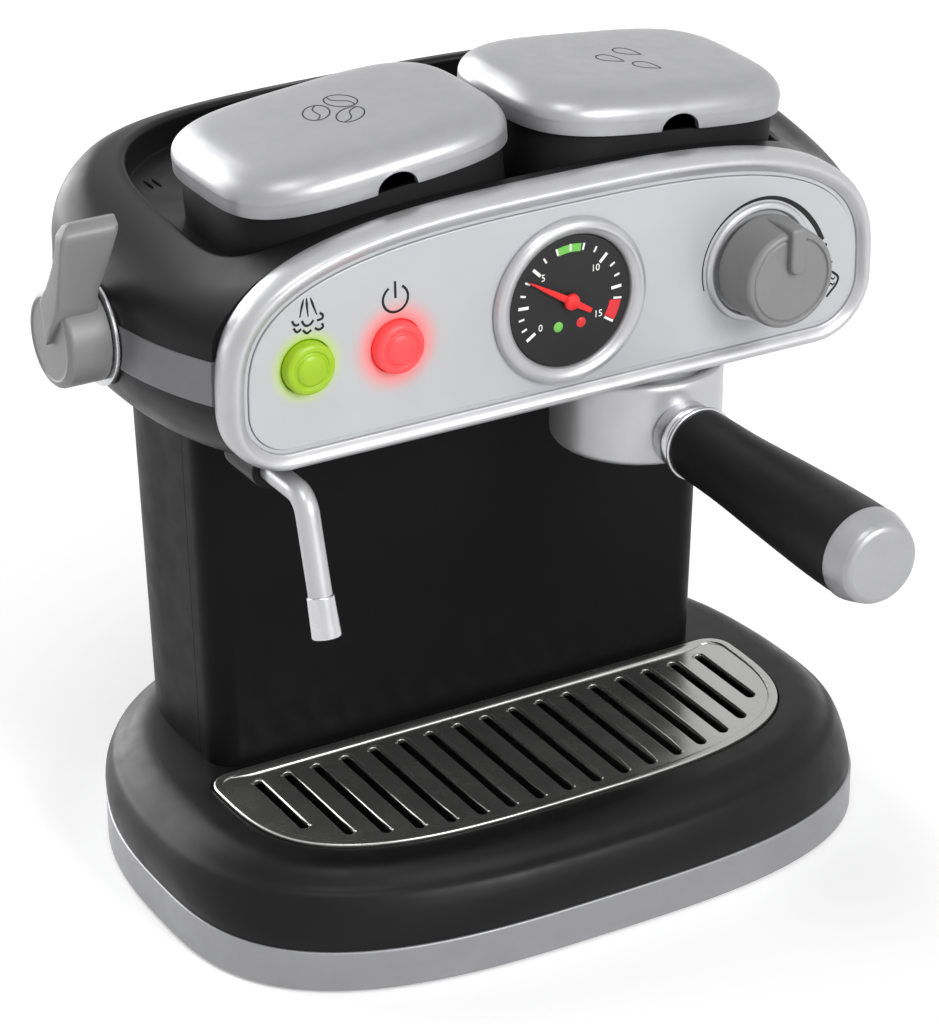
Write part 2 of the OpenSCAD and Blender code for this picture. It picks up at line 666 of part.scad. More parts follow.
module lever_bushing() color([0.08, 0.08, 0.08]) difference() {
    rod_x(lever_y, lever_z, washer_r, lever_x + washer_t + 0.3, lever_x + 18);
    rod_x(lever_y, lever_z, lever_shaft_r + run_gap, -140, -90);
}

module lever_washer() color("white") difference() {
    rod_x(lever_y, lever_z, washer_r, lever_x + 0.3, lever_x + washer_t + 0.3);
    rod_x(lever_y, lever_z, lever_shaft_r + 0.5, -140, -90);
}

// The lever: a round boss with an arm that leans forwards, broad and bevelled at its top, and runs to a
// pointed tip at the middle of the boss.
module lever_knob() color([0.55, 0.55, 0.55]) translate([0, lever_y, lever_z]) difference() {
    union() {
        translate([lever_x, 0, 0]) rotate([0, -90, 0]) rotate_extrude()
            polygon([[0, 0], [lever_r, 0], [lever_r, lever_len - 1.2], [lever_r - 0.5, lever_len - 0.4],
                [lever_r - 1.4, lever_len], [0, lever_len]]);
        intersection() {
            translate([-150, 0, 0]) rotate([90, 0, 90]) linear_extrude(40)
                polygon([[-1.2, -0.6], [-10.4, 11.4], [-15.8, 35.6], [-15, 37.4], [-11.8, 39.4], [-10.2, 38.6],
                    [-9.9, 31], [-1.2, 16.5], [3.5, 12]]);
            translate([0, 60, 0]) rotate([90, 0, 0]) linear_extrude(120)
                polygon([[lever_x - 1.2, 10], [lever_x - 2.2, 16], [lever_x + 3.2, 37], [lever_x + 3.2, 45],
                    [lever_x - lever_len + 2, 45], [lever_x - lever_len - 1.6, 36], [lever_x - lever_len - 1.6, -5],
                    [lever_x - 6, -5]]);
        }
    }
    translate([lever_x + 1, 0, 0]) rotate([0, -90, 0]) cylinder(r = lever_shaft_r + 0.04, h = lever_len - 2);
}

module lever_shaft() color("white") {
    rod_x(lever_y, lever_z, lever_shaft_r, lever_x - lever_len + 3.5, lever_x + 22);
    rod_x(lever_y, lever_z, 7, lever_x + 18.3, lever_x + 21);
}

// ---- Hoppers and lids -----------------------------------------------------------------------------

// Puts a piece in the frame of one lid: side -1 is the left one, which leans to the left.
module at_lid(side) translate([lid_mid + side*lid_x, lid_y, lid_z]) rotate([0, side*lid_roll, 0]) children();

function lid_ring(o, n = 60) = oval(lid_a + o, 0, lid_b + o, lid_b + o, lid_n, lid_n, n);

module hopper(side) difference() {
    union() {
        intersection() {
            at_lid(side) slab(lid_ring(-hopper_in), -30, -gap);
            translate([-150, -150, well_z]) cube([300, 300, 60]);
        }
        at_lid(side) for (s = [-1, 1]) {
            rod_x(hinge_y, hinge_z, knuckle_r, s*knuckle_x0, s*knuckle_x1);
            translate([s > 0 ? knuckle_x0 : -knuckle_x1, lid_b - hopper_in - 1, hinge_z - knuckle_r])
                cube([knuckle_x1 - knuckle_x0, hinge_y - lid_b + hopper_in + 1, knuckle_r + 1.2]);
        }
    }
    intersection() {
        at_lid(side) slab(lid_ring(-hopper_in - hopper_t), -32, 5);
        translate([-150, -150, well_z + 2]) cube([300, 300, 60]);
    }
    at_lid(side) rod_x(hinge_y, hinge_z, pin_r + 0.03, -pin_x - 1, pin_x + 1);
}

module bean_hopper() color([0.07, 0.07, 0.07]) hopper(-1);

module water_tank() color([0.07, 0.07, 0.07]) difference() {
    union() {
        hopper(1);
        post([knob_x, bowl_y], 4, knob_z + valve_r, well_z + 1);
    }
    post([knob_x, bowl_y], 1.8, knob_z, well_z + 5);
}

// A lid: a shell with a straight skirt, a wide rolled shoulder and a nearly flat top, a finger notch in
// the front of its skirt and two hinge ears at its rear.
module lid(side) at_lid(side) difference() {
    union() {
        difference() {
            loft([for (p = [[0, 0], [0, lid_h - 7.6], [-0.5, lid_h - 5.6], [-1.9, lid_h - 3.6], [-4.2, lid_h - 1.9],
                [-7, lid_h - 0.9], [-10, lid_h - 0.4], [-20, lid_h]]) lift(lid_ring(p[0]), p[1])]);
            loft([for (p = [[-2, -1], [-2, lid_h - 7.4], [-4.4, lid_h - 4.4], [-9, lid_h - 2.6]])
                lift(lid_ring(p[0]), p[1])]);
        }
        for (s = [-1, 1]) {
            rod_x(hinge_y, hinge_z, knuckle_r, s*ear_x, s*(ear_x + ear_w));
            translate([s > 0 ? ear_x : -ear_x - ear_w, lid_b - 1.4, hinge_z]) cube([ear_w, 2.6, 3.6]);
        }
    }
    rod_y(0, 0, notch_r, -lid_b - 2, -lid_b + 6);
    rod_x(hinge_y, hinge_z, pin_r + run_gap, -pin_x - 1, pin_x + 1);
}

module bean_lid() color("silver") lid(-1);

module tank_lid() color("silver") lid(1);

module lid_pins() color("gray") for (side = [-1, 1]) at_lid(side) rod_x(hinge_y, hinge_z, pin_r, -pin_x, pin_x);

// ---- Filter holder --------------------------------------------------------------------------------

// The bowl has a bayonet groove inside its rim, with two ways in that line up with the collar's lugs
// when the handle is turned aside.
module portafilter_bowl() color("silver") translate([bowl_x, bowl_y, 0]) difference() {
    union() {
        rotate_extrude() polygon([[0, bowl_z], [bowl_r - 1, bowl_z], [bowl_r, bowl_z + 1], [bowl_r, bowl_top - 1.2],
            [bowl_r - 1.2, bowl_top], [0, bowl_top]]);
        translate([0, 0, handle_z]) rotate([90, 0, 0]) cylinder(r = grip_r0 - 2.6, h = grip_y0 - 12);
    }
    translate([0, 0, bowl_z + 3.3]) cylinder(r = bowl_in, h = bowl_h);
    translate([0, 0, bowl_top - 6.4]) cylinder(r = lug_r + gap, h = 3.6);
    for (a = [45, 225]) translate([0, 0, bowl_top - 4]) rotate(a - 18) rotate_extrude(angle = 36)
        square([lug_r + gap, 6]);
    translate([0, 0, bowl_z - 1]) cylinder(r = 3, h = 6);
    translate([0, -bowl_in - 1.6, handle_z]) rotate([90, 0, 0]) cylinder(r = 3.04, h = grip_y0);
}

// Pieces of the handle are turned about an axis that runs forwards from the middle of the bowl.
module handle() translate([bowl_x, bowl_y, handle_z]) rotate([90, 0, 0]) rotate_extrude() children();

module handle_ferrule() color("silver") handle()
    polygon([[3.04, grip_y0 - 12], [grip_r0 - 1, grip_y0 - 12], [grip_r0 - 1, grip_y0 - 8.6], [grip_r0 + 0.3, grip_y0 - 8],
        [grip_r0 + 0.3, grip_y0 - 5.6], [grip_r0 - 1, grip_y0 - 5], [grip_r0 - 1, grip_y0 - 3.6],
        [grip_r0 + 0.6, grip_y0 - 3], [grip_r0 + 0.6, grip_y0], [3.04, grip_y0]]);

module handle_grip() color([0.06, 0.06, 0.06]) handle()
    polygon([[0, grip_y0 + 24], [3.04, grip_y0 + 24], [3.04, grip_y0], [grip_r0, grip_y0],
        [(grip_r0 + grip_r1)/2 + 0.1, grip_y0 + grip_len/2], [grip_r1, grip_y0 + grip_len], [0, grip_y0 + grip_len]]);

module handle_cap() color("silver") handle()
    polygon(concat([[0, grip_y0 + grip_len], [grip_r1 + 0.15, grip_y0 + grip_len]],
        [for (i = [0:6]) let (a = 90*i/6)
            [cap_face_r + (grip_r1 + 0.15 - cap_face_r)*cos(a), grip_y0 + grip_len + cap_len - 4 + 4*sin(a)]],
        [[0, grip_y0 + grip_len + cap_len]]));

module handle_screw() color("gray") handle() translate([0, bowl_in + 1.8]) square([3, grip_y0 + 23.5 - bowl_in - 1.8]);

// ---- Steam wand -----------------------------------------------------------------------------------

module wand_socket() color([0.08, 0.08, 0.08]) difference() {
    union() {
        rod_y(wand_x, wand_z, wand_r + 2.5, -40, -22);
        translate([wand_x - 4, -38, wand_z]) cube([8, 14, rim_z - wand_z]);
    }
    rod_y(wand_x, wand_z, wand_r + run_gap, -41, -24);
}

// The tube runs forwards under the head, bends down and leans forwards a little.
module wand_tube() color("silver") translate([wand_x, wand_y1, wand_z - wand_bend]) rotate([0, -90, 0]) {
    translate([wand_bend, 0, 0]) rotate([-90, 0, 0]) linear_extrude(wand_y0 - wand_y1) ring2d(wand_r, wand_r - 1.1);
    rotate_extrude(angle = -wand_turn) translate([wand_bend, 0]) ring2d(wand_r, wand_r - 1.1);
    rotate([0, 0, -wand_turn]) translate([wand_bend, 0, 0]) rotate([90, 0, 0]) linear_extrude(wand_drop)
        ring2d(wand_r, wand_r - 1.1);
}

// The frame at the start of the wand's straight drop, with +Z down along the drop.
module at_wand_end() translate([0, wand_y1 - wand_bend*sin(wand_turn), -wand_bend*(1 - cos(wand_turn))])
    rotate([90 + wand_turn, 0, 0]) children();

module wand_nozzle() color("silver") translate([wand_x, 0, wand_z]) at_wand_end()
    translate([0, 0, wand_drop - 1]) difference() {
        cylinder(r1 = nozzle_r - 0.3, r2 = nozzle_r, h = nozzle_len);
        translate([0, 0, -1]) cylinder(r = wand_r + 0.04, h = 2);
        cylinder(r = 1.6, h = 20);
    }

bottom_tray();
rubber_feet();
base_screws();
battery_box();
battery_cells();
battery_contacts();
battery_door();
door_screw();
speaker();
base_shell();
drip_tray();
drip_grille();
tower_front();
tower_rear();
tower_screws();
head_lower();
head_stripe();
head_upper();
panel_bezel();
face_plate();
gauge_ring();
gauge_dial();
gauge_needle();
knob_seat();
front_knob();
knob_shaft();
valve_body();
water_hose();
group_head();
green_button();
red_button();
green_spring();
red_spring();
button_board();
button_lamps();
lever_bushing();
lever_washer();
lever_knob();
lever_shaft();
bean_hopper();
water_tank();
bean_lid();
tank_lid();
lid_pins();
portafilter_bowl();
handle_ferrule();
handle_grip();
handle_cap();
handle_screw();
wand_socket();
wand_tube();
wand_nozzle();
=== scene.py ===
"""Looks of a toy coffee maker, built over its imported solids.

Lengths are in millimetres until a piece becomes a mesh. +Z is up, the control panel faces -Y and +X is to
the right of a person who faces it. Every shape is a surface worked out with numpy: rings of points that
are joined into a grid, a profile turned about an axis, or a section carried along a path.
"""

import logging
from dataclasses import dataclass, field, replace
from enum import Enum
from typing import Callable, Sequence

import bmesh
import bpy
import numpy as np
from mathutils import Matrix, Vector
from mathutils.geometry import tessellate_polygon


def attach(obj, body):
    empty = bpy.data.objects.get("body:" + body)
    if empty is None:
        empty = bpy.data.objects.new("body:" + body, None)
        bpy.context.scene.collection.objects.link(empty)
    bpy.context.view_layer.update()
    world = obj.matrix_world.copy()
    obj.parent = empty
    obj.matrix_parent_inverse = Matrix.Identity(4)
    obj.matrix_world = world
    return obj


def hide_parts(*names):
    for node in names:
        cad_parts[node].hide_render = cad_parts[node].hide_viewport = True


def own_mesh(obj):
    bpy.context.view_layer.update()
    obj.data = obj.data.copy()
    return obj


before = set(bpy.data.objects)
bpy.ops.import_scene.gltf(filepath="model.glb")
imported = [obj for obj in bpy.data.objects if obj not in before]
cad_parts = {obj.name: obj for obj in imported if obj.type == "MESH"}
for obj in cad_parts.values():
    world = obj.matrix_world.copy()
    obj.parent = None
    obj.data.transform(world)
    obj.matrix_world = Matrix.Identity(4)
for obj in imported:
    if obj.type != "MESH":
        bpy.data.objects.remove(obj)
LOG = logging.getLogger("coffee_maker")
MM = 0.001
TURN = 2*np.pi
Array = np.ndarray
Colour = tuple[float, float, float]
Point = Sequence[float]
Outline = Callable[[float], Array]
Stand = Callable[[Array, float], Array]
Socket = bpy.types.NodeSocket


# ---- Points, curves and outlines ----

def points(*rows: Point) -> Array:
    """Rows of numbers as an array of points."""
    return np.array(rows, dtype=float)


def smooth(knots: Array, steps: int = 6) -> Array:
    """A smooth curve through knots: each span is a cubic whose slope at a knot is half the chord between that
    knot's neighbours (Catmull-Rom).

    Args:
        knots: Points of any dimension, one a row.
        steps: Points on each span.

    Returns:
        The points of the curve, knots included.
    """
    ends = np.vstack([2*knots[0] - knots[1], knots, 2*knots[-1] - knots[-2]])
    p0, p1, p2, p3 = (ends[i:len(ends) - 3 + i, None, :] for i in range(4))
    t = np.linspace(0, 1, steps, endpoint=False)[None, :, None]
    curve = 0.5*(2*p1 + (p2 - p0)*t + (2*p0 - 5*p1 + 4*p2 - p3)*t**2 + (3*p1 - p0 - 3*p2 + p3)*t**3)
    return np.vstack([curve.reshape(-1, knots.shape[1]), knots[-1]])


def eased(corners: Array, radius: float, steps: int = 4, closed: bool = False) -> Array:
    """A polyline whose corners are rounded: each corner gives way to a parabola that starts and ends up to
    radius away from it, with one more point just before and after to keep the flats flat when shaded.

    Args:
        corners: The corner points, one a row.
        radius: Length that the rounding takes from each side of a corner.
        steps: Steps on each rounding.
        closed: Whether the last corner joins the first.

    Returns:
        The rounded polyline.
    """
    before, after = np.roll(corners, 1, axis=0), np.roll(corners, -1, axis=0)
    reach_a = np.linalg.norm(before - corners, axis=1, keepdims=True)
    reach_b = np.linalg.norm(after - corners, axis=1, keepdims=True)
    cut_a, cut_b = np.minimum(radius, 0.42*reach_a), np.minimum(radius, 0.42*reach_b)
    step_a = (before - corners)/np.maximum(reach_a, 1e-9)
    step_b = (after - corners)/np.maximum(reach_b, 1e-9)
    t = np.linspace(0, 1, steps + 1)[None, :, None]
    start, end = corners + cut_a*step_a, corners + cut_b*step_b
    arcs = (1 - t)**2*start[:, None] + 2*t*(1 - t)*corners[:, None] + t**2*end[:, None]
    lead, tail = start + 0.25*cut_a*step_a, end + 0.25*cut_b*step_b
    rounded = np.concatenate([lead[:, None], arcs, tail[:, None]], axis=1)
    if closed:
        return rounded.reshape(-1, corners.shape[1])
    middle = rounded[1:-1].reshape(-1, corners.shape[1])
    return np.vstack([corners[:1], middle, corners[-1:]])


def bead(radius: float, *corners: Point, steps: int = 4) -> Array:
    """A closed section whose corners are rounded by up to a radius."""
    return eased(points(*corners), radius, steps, closed=True)


def oval(half: float, middle: float, front: float, rear: float, n_front: float, n_rear: float,
         angles: Array) -> Array:
    """Points of two superellipse halves at given angles: the distance from the middle is
    (|cos/half|^n + |sin/depth|^n)^(-1/n), with its own depth and exponent in front and at the rear.

    Args:
        half: Half width.
        middle: Y of the widest line.
        front: Depth in front of it.
        rear: Depth behind it.
        n_front: Exponent in front.
        n_rear: Exponent behind.
        angles: Angles seen from the middle, counterclockwise from +X.

    Returns:
        Points (x, y), one for each angle.
    """
    c, s = np.cos(angles), np.sin(angles)
    depth = np.where(s < 0, front, rear)
    n = np.where(s < 0, n_front, n_rear)
    reach = (np.abs(c/half)**n + np.abs(s/depth)**n)**(-1/n)
    return np.column_stack([reach*c, middle + reach*s])


def unit(vectors: Array) -> Array:
    """Vectors brought to length 1."""
    return vectors/np.linalg.norm(vectors, axis=1, keepdims=True)


def spun(outline: Array, degrees: float) -> Array:
    """A flat outline turned counterclockwise about the origin."""
    c, s = np.cos(np.radians(degrees)), np.sin(np.radians(degrees))
    return outline @ np.array([[c, s], [-s, c]])


def squared(angles: Array, power: float) -> Array:
    """A circle squared off: cosine and sine keep their signs, and their sizes are raised to a power below 1."""
    way = np.column_stack([np.cos(angles), np.sin(angles)])
    return np.sign(way)*np.abs(way)**power


def around(count: int) -> Array:
    """Angles of a whole turn, without its end."""
    return np.linspace(0, TURN, count, endpoint=False)


def arc(centre: Point, radius: float, start: float, end: float, count: int) -> Array:
    """Points of a circle's arc between two angles in degrees."""
    a = np.radians(np.linspace(start, end, count))
    return np.asarray(centre) + radius*np.column_stack([np.cos(a), np.sin(a)])


def spread(outline: Array, count: int) -> Array:
    """Points at even steps along a closed outline.

    Args:
        outline: The outline's corner points.
        count: How many points to return.

    Returns:
        Points at equal distances along it.
    """
    loop = np.vstack([outline, outline[:1]])
    along = np.concatenate([[0], np.cumsum(np.linalg.norm(np.diff(loop, axis=0), axis=1))])
    at = np.linspace(0, along[-1], count, endpoint=False)
    return np.column_stack([np.interp(at, along, loop[:, k]) for k in range(loop.shape[1])])


def level(outline: Array, z: float) -> Array:
    """An outline in X and Y lifted to a height."""
    return np.column_stack([outline, np.full(len(outline), z)])


def upright(outline: Array, y: float) -> Array:
    """An outline in X and Z stood up at a depth."""
    return np.column_stack([outline[:, 0], np.full(len(outline), y), outline[:, 1]])


def hole(x: float, y: float, radius: float, count: int) -> Outline:
    """A round hole's outline."""
    return lambda o: np.array([x, y]) + circle(radius + o, count)


# ---- Places ----

@dataclass(frozen=True)
class Place:
    """A frame: an origin and three axes, onto which local points are carried."""
    origin: Point
    u: Point = (1, 0, 0)
    v: Point = (0, 1, 0)
    w: Point = (0, 0, 1)

    def put(self, local: Array) -> Array:
        """Local points carried into the model: origin + u*x + v*y + w*z."""
        return np.asarray(self.origin, float) + np.asarray(local) @ np.array([self.u, self.v, self.w], float)


def facing_front(x: float, y: float, z: float) -> Place:
    """A frame on the panel: local x to the right, local y up, local z forwards."""
    return Place((x, y, z), (1, 0, 0), (0, 0, 1), (0, -1, 0))


def facing_left(x: float, y: float, z: float) -> Place:
    """A frame on the left side: local x forwards, local y up, local z to the left."""
    return Place((x, y, z), (0, -1, 0), (0, 0, 1), (-1, 0, 0))


def standing(x: float, y: float) -> Place:
    """A frame on the ground."""
    return Place((x, y, 0.0))


# ---- Surfaces ----

@dataclass
class Surface:
    """Points in millimetres and the faces that join them."""
    points: Array
    faces: list[Sequence[int]]

    def __add__(self, other: "Surface") -> "Surface":
        """Both surfaces as one."""
        return joined([self, other])

    def flipped(self) -> "Surface":
        """The surface with its faces turned over."""
        return Surface(self.points, [list(face)[::-1] for face in self.faces])

    def outward(self) -> "Surface":
        """The closed surface with its faces pointing outwards: the signed volume of the cones from its middle
        to its faces is made positive.

        Returns:
            The surface, turned over where that is needed.
        """
        tris = np.array([(f[0], f[i], f[i + 1]) for f in self.faces for i in range(1, len(f) - 1)])
        a, b, c = (self.points[tris[:, k]] - self.points.mean(axis=0) for k in range(3))
        return self if np.einsum("ij,ij->", a, np.cross(b, c)) > 0 else self.flipped()

    def placed(self, place: Place) -> "Surface":
        """The surface carried into a frame."""
        return Surface(place.put(self.points), self.faces)


def joined(parts: Sequence[Surface]) -> Surface:
    """Many surfaces as one.

    Args:
        parts: The surfaces.

    Returns:
        One surface with the points and faces of all.
    """
    shifts = np.cumsum([0] + [len(p.points) for p in parts])
    return Surface(np.vstack([p.points for p in parts]),
                   [[int(s) + i for i in face] for s, p in zip(shifts, parts) for face in p.faces])


def skin(rings: Sequence[Array], ring_closed: bool = True, loop: bool = False, caps: bool = True) -> Surface:
    """A grid surface through rings: point (i, j) is point j of ring i, and each face joins (i, j) to its
    neighbours.

    Args:
        rings: Rings with the same number of points each.
        ring_closed: Whether each ring's last point joins its first.
        loop: Whether the last ring joins the first.
        caps: Whether the first and last ring are closed with a face.

    Returns:
        The surface, facing outwards where it is closed.
    """
    grid = np.stack(rings)
    m, n = grid.shape[:2]
    i = np.arange(m if loop else m - 1)[:, None]
    j = np.arange(n if ring_closed else n - 1)[None, :]
    i2, j2 = (i + 1) % m, (j + 1) % n
    quads = np.stack([i*n + j, i*n + j2, i2*n + j2, i2*n + j], axis=-1).reshape(-1, 4).tolist()
    closed = ring_closed and (loop or caps)
    if caps and ring_closed and not loop:
        quads += [list(range(n))[::-1], list(range((m - 1)*n, m*n))]
    surface = Surface(grid.reshape(-1, 3), quads)
    return surface.outward() if closed else surface


def hoop(ring: Outline, section: Array, stand: Stand = level) -> Surface:
    """A closed section carried round an outline: its point (o, h) becomes the outline at offset o, stood at
    position h."""
    return skin([stand(ring(o), h) for o, h in section], loop=True)


def turned(profile: Array, place: Place, count: int = 96) -> Surface:
    """A profile turned about the frame's third axis: (r, h) goes to (r cos a, r sin a, h).

    Args:
        profile: Closed or axis-to-axis profile of radius and height.
        place: Frame of the axis.
        count: Steps round the turn.

    Returns:
        The surface of revolution.
    """
    rings = [level(max(r, 1e-4)*circle(1, count), h) for r, h in profile]
    ends_on_axis = profile[0][0] < 1e-3 and profile[-1][0] < 1e-3
    return skin(rings, loop=not ends_on_axis, caps=ends_on_axis).outward().placed(place)


def along(path: Array, section: Array, up: Point, scale: Array | None = None) -> Surface:
    """A section carried along a path: each ring lies across the path's direction, and its second axis is as
    near to up as it can be.

    Args:
        path: Points of the path.
        section: Closed outline in the plane across it.
        up: Direction that the section's second axis keeps to.
        scale: Factor on the section at each point of the path.

    Returns:
        The closed surface.
    """
    tangent = unit(np.gradient(path, axis=0))
    side = unit(np.cross(tangent, np.asarray(up, float)))
    top = np.cross(side, tangent)
    size = np.ones(len(path)) if scale is None else scale
    across = section[None, :, :1]*side[:, None] + section[None, :, 1:]*top[:, None]
    return skin(list(path[:, None] + size[:, None, None]*across)).outward()


def inlay(path: Array, width: float | Array, section: Array, normal: Point,
          closed: bool = False) -> Surface:
    """A printed line: a flat section carried along a path, its first axis across the path and times half the
    width, its second axis along the normal.

    Args:
        path: Points of the line; a closed one ends where it starts.
        width: Width of the line, or a width for each point.
        section: Outline of the section, from -1 to 1 across.
        normal: Normal of the face that carries the print.
        closed: Whether the line closes on itself.

    Returns:
        The print's surface.
    """
    wide = np.broadcast_to(width, len(path))/2
    tangent = np.gradient(path, axis=0)
    if closed:
        tangent[0] = tangent[-1] = path[1] - path[-2]
    side = unit(np.cross(tangent, normal))
    rings = path[:, None] + wide[:, None, None]*side[:, None]*section[None, :, :1] \
        + section[None, :, 1:]*np.asarray(normal, float)
    return skin(list(rings[:-1] if closed else rings), loop=closed)


def circle(radius: float, count: int) -> Array:
    """A circle's points."""
    return radius*np.column_stack([np.cos(around(count)), np.sin(around(count))])


def filled(loops: Sequence[Array]) -> Surface:
    """A flat outline with holes, filled with triangles.

    Args:
        loops: The outline, then its holes, as points in space.

    Returns:
        The flat surface between them.
    """
    polygons = [[Vector(p) for p in loop] for loop in loops]
    return Surface(np.vstack(loops), [list(face) for face in tessellate_polygon(polygons)])


def plate(outer: Outline, holes: Sequence[Outline], low: float, high: float, edge: float,
          stand: Stand = level) -> Surface:
    """A flat plate with holes and rounded edges. The wall of each outline follows a quarter circle at both
    ends, edge (1 - sin t) inwards and edge (1 - cos t) from the face, and flat faces fill what is left.

    Args:
        outer: Outline for an offset, positive outwards.
        holes: Outlines of the holes, for an offset that is positive away from the hole's middle.
        low: Position of the plate's first face.
        high: Position of its second face.
        edge: Radius of the rounded edges.
        stand: Puts an outline at a position, level or upright.

    Returns:
        The closed surface.
    """
    t = np.linspace(0, np.pi/2, 4)
    back, rise = edge*(1 - np.sin(t)), edge*(1 - np.cos(t))
    inset = np.concatenate([[edge*1.3], back, back[::-1], [edge*1.3]])
    height = np.concatenate([[low], low + rise, high - rise[::-1], [high]])
    walls, lows, highs = [], [], []
    for k, outline in enumerate([outer, *holes]):
        side = -1 if k == 0 else 1
        rings = [stand(outline(side*o), h) for o, h in zip(inset, height)]
        walls.append(skin(rings, caps=False))
        lows.append(rings[0])
        highs.append(rings[-1])
    return joined([*walls, filled(lows), filled(highs)])


def lettering(text: str, size: float, depth: float, place: Place) -> Surface:
    """Printed characters as thin solid shapes, centred on the frame's origin.

    Args:
        text: The characters.
        size: Height of the type in millimetres.
        depth: Thickness of the print.
        place: Frame whose third axis is the print's normal.

    Returns:
        The surface of the characters.
    """
    curve = bpy.data.curves.new("print", "FONT")
    curve.body, curve.size, curve.extrude, curve.resolution_u = text, size, depth/2, 3
    curve.align_x, curve.align_y = "CENTER", "CENTER"
    carrier = bpy.data.objects.new("print", curve)
    bpy.context.scene.collection.objects.link(carrier)
    bpy.context.view_layer.update()
    mesh = carrier.to_mesh()
    local = np.empty(3*len(mesh.vertices))
    mesh.vertices.foreach_get("co", local)
    faces = [list(p.vertices) for p in mesh.polygons]
    carrier.to_mesh_clear()
    bpy.data.objects.remove(carrier)
    bpy.data.curves.remove(curve)
    return Surface(place.put(local.reshape(-1, 3)), faces)


def make(name: str, surface: Surface, crease: float = 32.0, normals: bool = True) -> bpy.types.Object:
    """Turns a surface into an object at the origin, in metres, with its doubles merged and its poles closed.

    Args:
        name: The object's name.
        surface: What to build.
        crease: Edges sharper than this angle stay sharp when shaded, in degrees.
        normals: Whether the faces are made to point outwards together.

    Returns:
        The new object.
    """
    mesh = bpy.data.meshes.new(name)
    mesh.from_pydata((surface.points*MM).tolist(), [], surface.faces)
    form = bmesh.new()
    form.from_mesh(mesh)
    bmesh.ops.remove_doubles(form, verts=form.verts, dist=2e-6)
    bmesh.ops.dissolve_degenerate(form, edges=form.edges, dist=1e-6)
    if normals:
        bmesh.ops.recalc_face_normals(form, faces=form.faces)
    form.to_mesh(mesh)
    form.free()
    mesh.shade_smooth()
    mesh.set_sharp_from_angle(angle=np.radians(crease))
    piece = bpy.data.objects.new(name, mesh)
    bpy.context.scene.collection.objects.link(piece)
    return piece


# ---- Finishes ----

def tone(*display: float) -> Colour:
    """A colour written as display values from 0 to 255, as linear values from 0 to 1."""
    v = np.array(display)/255
    return tuple(float(x) for x in np.where(v <= 0.04045, v/12.92, ((v + 0.055)/1.055)**2.4))


class Texture(Enum):
    """How the fine grain of a finish runs."""
    EVEN = (1.0, 1.0, 1.0)
    ALONG_Y = (1.0, 0.03, 1.0)
    LEVEL = (0.05, 0.05, 1.0)


